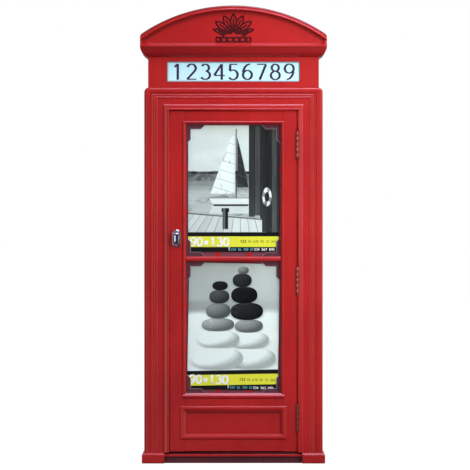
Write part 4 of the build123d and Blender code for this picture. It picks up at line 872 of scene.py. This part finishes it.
# %% [markdown]
# ## Rings, and lines with a body
# Every added piece is a stack of rings: tables v by u of x, of out toward the viewer, and of z. The
# palmette, the digits on the sign and the numbers on the cards are drawn lines with a little
# height, like enamel from a broad pen: a flat path runs through the middle of the line, and half an
# ellipse stands across it. A broad pen held level draws uprights thick and level runs thin, so the
# half width grows with the upward share of the direction.

# %% Rings and strokes


def rings(x, out, z, closed=False):
    """Points and faces of a stack of rings. The stack closes on itself, or each end closes with
    one face."""
    points = np.stack(np.broadcast_arrays(x, out, z), axis=2)
    number = np.arange(points[:, :, 0].size).reshape(points.shape[:2])
    after = np.roll(number, -1, axis=1)
    above = [np.roll(table, -1, axis=0) for table in (after, number)]
    faces = np.stack([number, after, *above], axis=2)
    faces = faces[: None if closed else -1].reshape(-1, 4).tolist()
    if not closed:
        faces += [number[0, ::-1].tolist(), number[-1].tolist()]
    return points.reshape(-1, 3), faces


def solid(name, parts, place, turn=0):
    """One smooth object from parts (points in millimetres, faces), turned in its own plane and
    laid at place, in metres."""
    faces = []
    first = 0
    for points, quads in parts:
        faces += [[corner + first for corner in quad] for quad in quads]
        first += len(points)
    x, out, z = np.concatenate([points for points, _ in parts]).T
    x, z = turned(x, z, turn)
    placed = np.stack([x, -out, z], axis=1) * MM + np.array(place)
    mesh = bpy.data.meshes.new(name)
    mesh.from_pydata(placed.tolist(), [], faces)
    mesh.shade_smooth()
    mesh.update()
    return link(name, mesh)


def arc(x, z, wide, high, start, end):
    """The path (x + wide cos a, z + high sin a), with a from start to end in degrees."""
    a = np.radians(np.linspace(start, end, 28))
    return np.stack([x + wide * np.cos(a), z + high * np.sin(a)], axis=1)


def run(*points):
    """A straight path through points given by x and z in turn, six steps to each length."""
    points = np.array(points, float).reshape(-1, 2)
    at = np.linspace(0, len(points) - 1, 6 * (len(points) - 1) + 1)
    return np.stack([np.interp(at, np.arange(len(points)), line) for line in points.T], axis=1)


def stroke(path, thin, thick, rise):
    """Rings of one raised line: path(u) + w(u) cos v side(u) + rise sin v forward, with v from 0
    to pi and the half width w from thin to thick."""
    step = np.gradient(path, axis=0)
    step = step / np.linalg.norm(step, axis=1, keepdims=True)
    half = (thin + (thick - thin) * np.abs(step[:, 1])) / 2
    v = np.linspace(0, np.pi, 9)
    off = half[:, None] * np.cos(v)
    x = path[:, :1] - off * step[:, 1:]
    return rings(x, rise * np.sin(v), path[:, 1:] + off * step[:, :1])


def fit(made, body, material):
    """Give a new piece its finish and the body it moves with."""
    made.data.materials.append(material)
    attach(made, body)
    print(made.name, "faces:", len(made.data.polygons), "rides on", body)


def flat_paint(name, tone, worn, share, roughness):
    """Brushed enamel: tone rubbed to worn in small patches, with faint brush lines along x."""
    f, (x, y, z) = begin(name)
    rub = f.noise((x, y, z), 1.6, 3, 0.6)
    lines = f.noise((x * 0.1, y, z), 0.25, 2)
    patch = f.step(rub, 0.56, 0.72) * share
    return f.shade(f.mix(patch, tone, worn), roughness + 0.15 * lines, lines, 0.01, gloss=0.25)


print("pen ready")

# %% [markdown]
# ## Palmette
# Between the arch and the cornice stands a palmette, a fan of leaves as carved over doors since the
# Greeks. Each of its seven leaves is an outline, half width w sin(pi q^1.25) against the length q,
# with a rib down its middle, turned about a point under the fan. Two scrolls, r falling evenly with
# the turn, carry it, and a band with five studs is its foot.

# %% Palmette
FAN_Z, HUB_R = 8.0, 2.6
SCROLL_X, SCROLL_Z, SCROLL_R = 11.4, 9.3, 3.4
BAND_HALF = 17.0
LINE, LINE_RISE = 1.75, 0.3


def leaf(angle, near, far, width):
    """Outline and rib of one leaf that points this many degrees away from straight up."""
    turn = math.radians(angle)
    ahead = np.array([math.sin(turn), math.cos(turn)])
    aside = np.array([math.cos(turn), -math.sin(turn)])
    q = np.linspace(0, 1, 26)
    along = near + (far - near) * np.concatenate([q, q[-2::-1]])
    sway = width * np.sin(np.pi * q ** 1.25)
    across = np.concatenate([sway, -sway[-2::-1]])
    edge = (0, FAN_Z) + along[:, None] * ahead + across[:, None] * aside
    rib = run(*((0, FAN_Z) + (near + share * (far - near)) * ahead for share in (0.25, 0.72)))
    return [edge, rib]


def scroll(side):
    """A spiral of one and a half turns beside the foot of the fan."""
    turn = np.linspace(0, 3 * np.pi, 60)
    radius = SCROLL_R * (1 - 0.8 * turn / turn[-1])
    x = side * (SCROLL_X - radius * np.sin(turn))
    return np.stack([x, SCROLL_Z - radius * np.cos(turn)], axis=1)


LEAVES = [(0, 20.0, 2.9), (28, 20.4, 3.0), (55, 21.6, 2.9), (77, 20.6, 1.9)]
LEAF_NEAR = 3.4
BAND_Z = (0.6, 4.6)
STUD_PITCH, STUD_R = 6.2, 0.8
lines = []
for angle, far, width in LEAVES:
    for side in ((1, -1) if angle else (1,)):
        lines += leaf(side * angle, LEAF_NEAR, far, width)
lines += [scroll(1), scroll(-1), arc(0, FAN_Z, HUB_R, HUB_R, 0, 180)]
lines += [run(-BAND_HALF, z, BAND_HALF, z) for z in BAND_Z]
lines += [run(x, BAND_Z[0], x, BAND_Z[1]) for x in (-BAND_HALF, BAND_HALF)]
lines += [arc(k * STUD_PITCH, sum(BAND_Z) / 2, STUD_R, STUD_R, 0, 360) for k in range(-2, 3)]
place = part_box("tympanum")[0]
place = (0, place.y, place.z + 0.7 * MM)
brown = flat_paint("brown_line", (72, 8, 10), (104, 16, 20), 0.6, 0.5)
palmette = solid("palmette", [stroke(path, LINE, LINE, LINE_RISE) for path in lines], place)
fit(palmette, "cabinet", brown)

# %% [markdown]
# ## Digits
# A sign this long wants nine marks, so it carries the digits from one to nine, built like Roman
# capitals: thick uprights and thin level strokes. Each is a few arcs and straight runs in a cell
# one unit high, and the same set serves the cards.

# %% Digit shapes
DIGITS = {
    "0": [arc(0, 0.49, 0.27, 0.47, 0, 360)],
    "1": [run(0, 0, 0, 1.0), run(-0.2, 0.8, -0.02, 0.97)],
    "2": [
        np.vstack([arc(0, 0.72, 0.26, 0.26, 165, -20), run(0.22, 0.58, -0.28, 0.03)[1:]]),
        run(-0.3, 0.03, 0.3, 0.03),
    ],
    "3": [arc(-0.02, 0.75, 0.23, 0.22, 150, -80), arc(-0.02, 0.28, 0.29, 0.26, 84, -152)],
    "4": [run(0.14, 0, 0.14, 0.98), run(0.12, 0.96, -0.33, 0.28), run(-0.34, 0.27, 0.34, 0.27)],
    "5": [
        run(-0.2, 0.97, 0.24, 0.97), run(-0.2, 0.97, -0.22, 0.56),
        arc(-0.03, 0.31, 0.29, 0.3, 128, -146),
    ],
    "6": [arc(0.16, 0.34, 0.44, 0.64, 88, 168), arc(0, 0.3, 0.28, 0.28, 0, 360)],
    "7": [run(-0.28, 0.97, 0.3, 0.97), run(0.29, 0.96, -0.1, 0)],
    "8": [arc(0, 0.75, 0.22, 0.22, 0, 360), arc(0, 0.27, 0.28, 0.26, 0, 360)],
    "9": [arc(-0.16, 0.66, 0.44, 0.64, -92, -12), arc(0, 0.7, 0.28, 0.28, 0, 360)],
    "x": [run(-0.2, 0.18, 0.2, 0.62), run(-0.2, 0.62, 0.2, 0.18)],
}


def written(marks, pitch, height, pens, rise):
    """Strokes of a row of marks centred on x = 0, standing on z = 0."""
    parts = []
    for index, mark in enumerate(marks):
        x = (index - (len(marks) - 1) / 2) * pitch
        parts += [stroke(path * height + (x, 0), *pens, rise) for path in DIGITS.get(mark, ())]
    return parts


DIGIT_H = 15.6
DIGIT_PITCH, DIGIT_PENS = 13.75, (1.1, 2.4)
pane_low, pane_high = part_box("sign_pane")
ink = flat_paint("sign_ink", (54, 44, 76), (84, 76, 108), 0.4, 0.3)
place = (0, pane_low.y, (pane_low.z + pane_high.z) / 2 - DIGIT_H / 2 * MM)
row = written("123456789", DIGIT_PITCH, DIGIT_H, DIGIT_PENS, LINE_RISE)
fit(solid("sign_digits", row, place), "cabinet", ink)

# %% [markdown]
# The white digits on the cards say which print fits, 90 by 130 mm, and the small ones are plain
# numbers: dark on the yellow band, pale on the black one. On the lower card, which sits a little
# crooked, they turn with it.

# %% Card numbers
INKS = {
    "white": ((250, 252, 250), (230, 234, 226)),
    "black": ((48, 52, 30), (84, 88, 44)),
    "olive": ((140, 144, 50), (160, 164, 58)),
    "cyan": ((96, 170, 190), (70, 130, 150)),
}
INKS = {name: flat_paint(f"{name}_ink", *tones, 0.5, 0.4) for name, tones in INKS.items()}
ROWS = [
    ("size", "90x130", -23.6, 5.7, 8.4, 6.5, (1.1, 2.1), "white"),
    ("code", "123", 9.6, 9.1, 2.5, 2.0, (0.45, 0.65), "black"),
    ("number", "45 678 90 12 345", 28.2, 9.1, 2.3, 1.75, (0.35, 0.5), "olive"),
    ("mark", "1", -4.2, 1.3, 3.4, 1.0, (0.4, 0.6), "white"),
    ("series", "234 56 789 01", 8.6, 1.3, 2.2, 1.75, (0.4, 0.5), "cyan"),
    ("batch", "234 567 890", 30.4, 1.3, 2.2, 1.85, (0.4, 0.5), "white"),
]
PRINT_RISE = 0.06


def card_row(card, turn, row):
    """Write one row of digits on a card, so far right of its middle and up from its foot."""
    label, marks, out, up, height, pitch, pens, ink = row
    low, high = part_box(card)
    x, z = turned(out * MM, (up - CARD_H / 2) * MM, turn)
    place = ((low.x + high.x) / 2 + x, low.y, (low.z + high.z) / 2 + z)
    made = solid(f"{card}_{label}", written(marks, pitch, height, pens, PRINT_RISE), place, turn)
    fit(made, "door", INKS[ink])


for row in ROWS:
    card_row("upper_card", 0, row)
    card_row("lower_card", -CARD_TILT, row)

# %% [markdown]
# ## Thumb turn and its plate
# The thumb turn is the one bright thing on the door, so it is shaped again with the curves that
# give chrome its life. The plate is a raised bead round a shallow dish, between a round hole and an
# oval. The turn is a wing with straight sides and round ends under a low dome. Behind it come the
# boss, the spindle, its square and a threaded stud.

# %% Handle
plate_low, plate_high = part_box("handle_plate")
grip_low, grip_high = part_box("handle_grip")
AROUND = 64
PLATE_W, PLATE_T, PLATE_H = size_mm("handle_plate")
HALF_W, HALF_H = PLATE_W / 2, PLATE_H / 2
RIM_T, BUSH_R = 0.35, 2.1
WING_W, WING_DOME, WING_POWER = 2.5, 0.8, 3.5
WING_L = size_mm("handle_grip")[2] / 2
BOSS_R = 3.2
BOSS_BACK = PLATE_T + 0.1
BOSS_FACE = BOSS_BACK + 1.0
WING_OUT = (plate_high.y - grip_low.y) / MM - BOSS_FACE
SPINDLE_R, SQUARE_R = 2.05, 1.98
THREAD_R, THREAD_PITCH, THREAD_DEPTH = 1.1, 0.7, 0.25
CAM_T = 1.8
spindle = ((plate_low.x + plate_high.x) / 2, plate_high.y, (plate_low.z + plate_high.z) / 2)


def lathe(profile, around=AROUND, turn=0):
    """Turned part: profile is (radius, out) from the back forward, about the out axis."""
    angle = np.linspace(0, 2 * np.pi, around, endpoint=False) + turn
    radius, out = np.array(profile, float).T[:, :, None]
    return rings(radius * np.sin(angle), out, radius * np.cos(angle))


def oval_plate():
    """Rings between the bush hole (share 0) and the oval outline (share 1), as a closed profile."""
    turn = np.linspace(0, 2 * np.pi, AROUND, endpoint=False)
    hole = BUSH_R * np.sin(turn), BUSH_R * np.cos(turn)
    straight = (HALF_H - HALF_W) * np.tanh(6 * np.cos(turn))
    outline = HALF_W * np.sin(turn), straight + HALF_W * np.cos(turn)
    bead = np.radians(np.arange(-60, 91, 15))
    bead = np.stack([0.8 + 0.2 * np.sin(bead), RIM_T + (PLATE_T - RIM_T) * np.cos(bead)], axis=1)
    dish = [(0, 0), (0, 0.6), (0.02, 0.7), (0.3, 0.62), (0.55, 0.66)]
    share, out = np.concatenate([dish, bead, [(1.0, 0)]]).T[:, :, None]
    x, z = (inner + share * (outer - inner) for inner, outer in zip(hole, outline))
    return rings(x, out, z, closed=True)


def wing():
    """Across: straight flanks under a low dome |x / w|^3 + |h / d|^2 = 1. Along: both shrink by
    e = (1 - |s|^p)^(1/p) at the share s of the length, so the ends are round."""
    s = np.sin(np.radians(np.linspace(-89.4, 89.4, 49)))[:, None]
    e = (1 - np.abs(s) ** WING_POWER) ** (1 / WING_POWER)
    v = np.linspace(0, np.pi, 33)
    x = WING_W * np.sign(np.cos(v)) * np.abs(np.cos(v)) ** (2 / 3)
    h = WING_OUT - WING_DOME + WING_DOME * np.sin(v)
    x, h = np.concatenate([[WING_W], x, [-WING_W]]), np.concatenate([[0.0], h, [0.0]])
    return rings(x * e, BOSS_FACE + h * (0.6 + 0.4 * e), WING_L * s)


def stud(back, front):
    """Threaded end: the radius falls by a triangle wave of out / pitch + turn."""
    u = np.linspace(0, 2 * np.pi, AROUND, endpoint=False)
    out = np.arange(back, front, THREAD_PITCH / 6)[:, None]
    wave = np.abs(2 * ((out / THREAD_PITCH + u / (2 * np.pi)) % 1.0) - 1)
    r = THREAD_R - THREAD_DEPTH * wave
    return rings(r * np.sin(u), out, r * np.cos(u))


made = solid("turn_plate", [oval_plate()], spindle)
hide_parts("handle_plate")
fit(made, "door", finishes["handle_chrome"])
BACK_END = (plate_high.y - grip_high.y) / MM
CAM_BACK = (plate_high.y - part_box("latch_cam")[1].y) / MM
CAM_FACE = CAM_BACK + CAM_T
boss = [(BOSS_R - 0.2, BOSS_BACK), (BOSS_R, BOSS_BACK + 0.2), (BOSS_R, BOSS_FACE - 0.3)]
square = [(SQUARE_R - 0.08, CAM_BACK), (SQUARE_R, CAM_BACK + 0.1), (SQUARE_R, CAM_FACE)]
parts = [
    wing(),
    lathe(boss + [(BOSS_R - 0.3, BOSS_FACE)]),
    lathe([(SPINDLE_R, CAM_FACE), (SPINDLE_R, BOSS_BACK)]),
    lathe(square, 4, math.pi / 4),
    stud(BACK_END, CAM_BACK),
]
made = solid("thumb_turn", parts, spindle)
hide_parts("handle_grip")
fit(made, "handle", finishes["handle_chrome"])

# %% [markdown]
# ## Felt round the door
# Thin strips of red felt close the gaps beside and over the door and stop it from rattling, and a
# brown weather bar lies on the threshold. Each is a rounded section drawn along a line. The red
# felt is brighter than the enamel: painted light that lifts the shade in the gaps.

# %% Felt strips
SEAL_T, SEAL_FRONT, SEAL_BACK = 0.4, 0.0, 2.2
LIP_T, LIP_FRONT = 0.52, -0.9
HINGE_FREE = 1.0
BAR_T = 1.2
door_y = box_mm("left_stile")[0][1]
jamb_x = box_mm("right_pilaster")[0][0]
head_z = foot_and_top("door_head")[0]
sill_z = foot_and_top("sill")[1]


def felt(name, tone, deep):
    """Wool pressed flat, with loose fibres."""
    f, spot = begin(name)
    wool = f.noise(spot, 0.25, 4, 0.7)
    return f.shade(f.mix(wool, tone, deep), 0.9 - 0.1 * wool, wool, 0.05, gloss=0.1)


def strip(low, high, along):
    """A bar between two corners (x, out, z), its section rounded like |a|^6 + |b|^6 = 1."""
    low, high = np.array(low), np.array(high)
    angle = np.linspace(0, 2 * np.pi, 24, endpoint=False)
    section = np.stack([np.cos(angle), np.sin(angle)])
    section = np.sign(section) * np.abs(section) ** (1 / 3)
    axes = [k for k in (0, 1, 2) if k != along]
    loops = np.empty((3, 2, 24))
    for axis, line in zip(axes, section if along == 2 else section[::-1]):
        loops[axis] = (low[axis] + high[axis]) / 2 + (high[axis] - low[axis]) / 2 * line
    loops[along] = [[low[along]], [high[along]]]
    return rings(*loops)


near, lip, deep = (-door_y - inward for inward in (SEAL_FRONT, LIP_FRONT, SEAL_BACK))
edges = [sill_z + 1.0]
for level in LEVELS:
    foot, top = foot_and_top(f"{level}_hinge_frame_leaf")
    edges += [foot - HINGE_FREE, top + HINGE_FREE]
edges.append(head_z)
strips = [strip((-jamb_x, deep, edges[0]), (-jamb_x + SEAL_T, near, head_z), 2)]
for foot, top in zip(edges[::2], edges[1::2]):
    strips.append(strip((jamb_x - LIP_T, deep, foot), (jamb_x, lip, top), 2))
strips.append(strip((-jamb_x + 1, deep, head_z - 0.5), (jamb_x - 1, near, head_z), 0))
made = solid("door_felt", strips, (0, 0, 0))
# Bright red felt: painted light that lifts the shade in the door gaps.
fit(made, "cabinet", felt("red_felt", (244, 64, 58), (216, 40, 38)))
bar = strip((-jamb_x + 1, deep - 2, sill_z), (jamb_x - 1, near - 0.5, sill_z + BAR_T), 0)
made = solid("weather_bar", [bar], (0, 0, 0))
fit(made, "cabinet", felt("brown_felt", (84, 34, 36), (58, 22, 26)))

# %% [markdown]
# ## Dressing the parts
# The imported record says which finish each part takes, so they are handed out by its list. Only the
# two cards have a print of their own, and the low panel moulding gets less painted shade.

# %% Hand out the finishes
taken = {part["node"]: part["material_slot"] for part in frame["record"]["subparts"]}
for part, finish in taken.items():
    if finish in finishes:
        dress(finishes[finish], part)
dress(panel_red, "panel_moulding")
print("dressed:", sum(finish in finishes for finish in taken.values()), "of", len(taken))
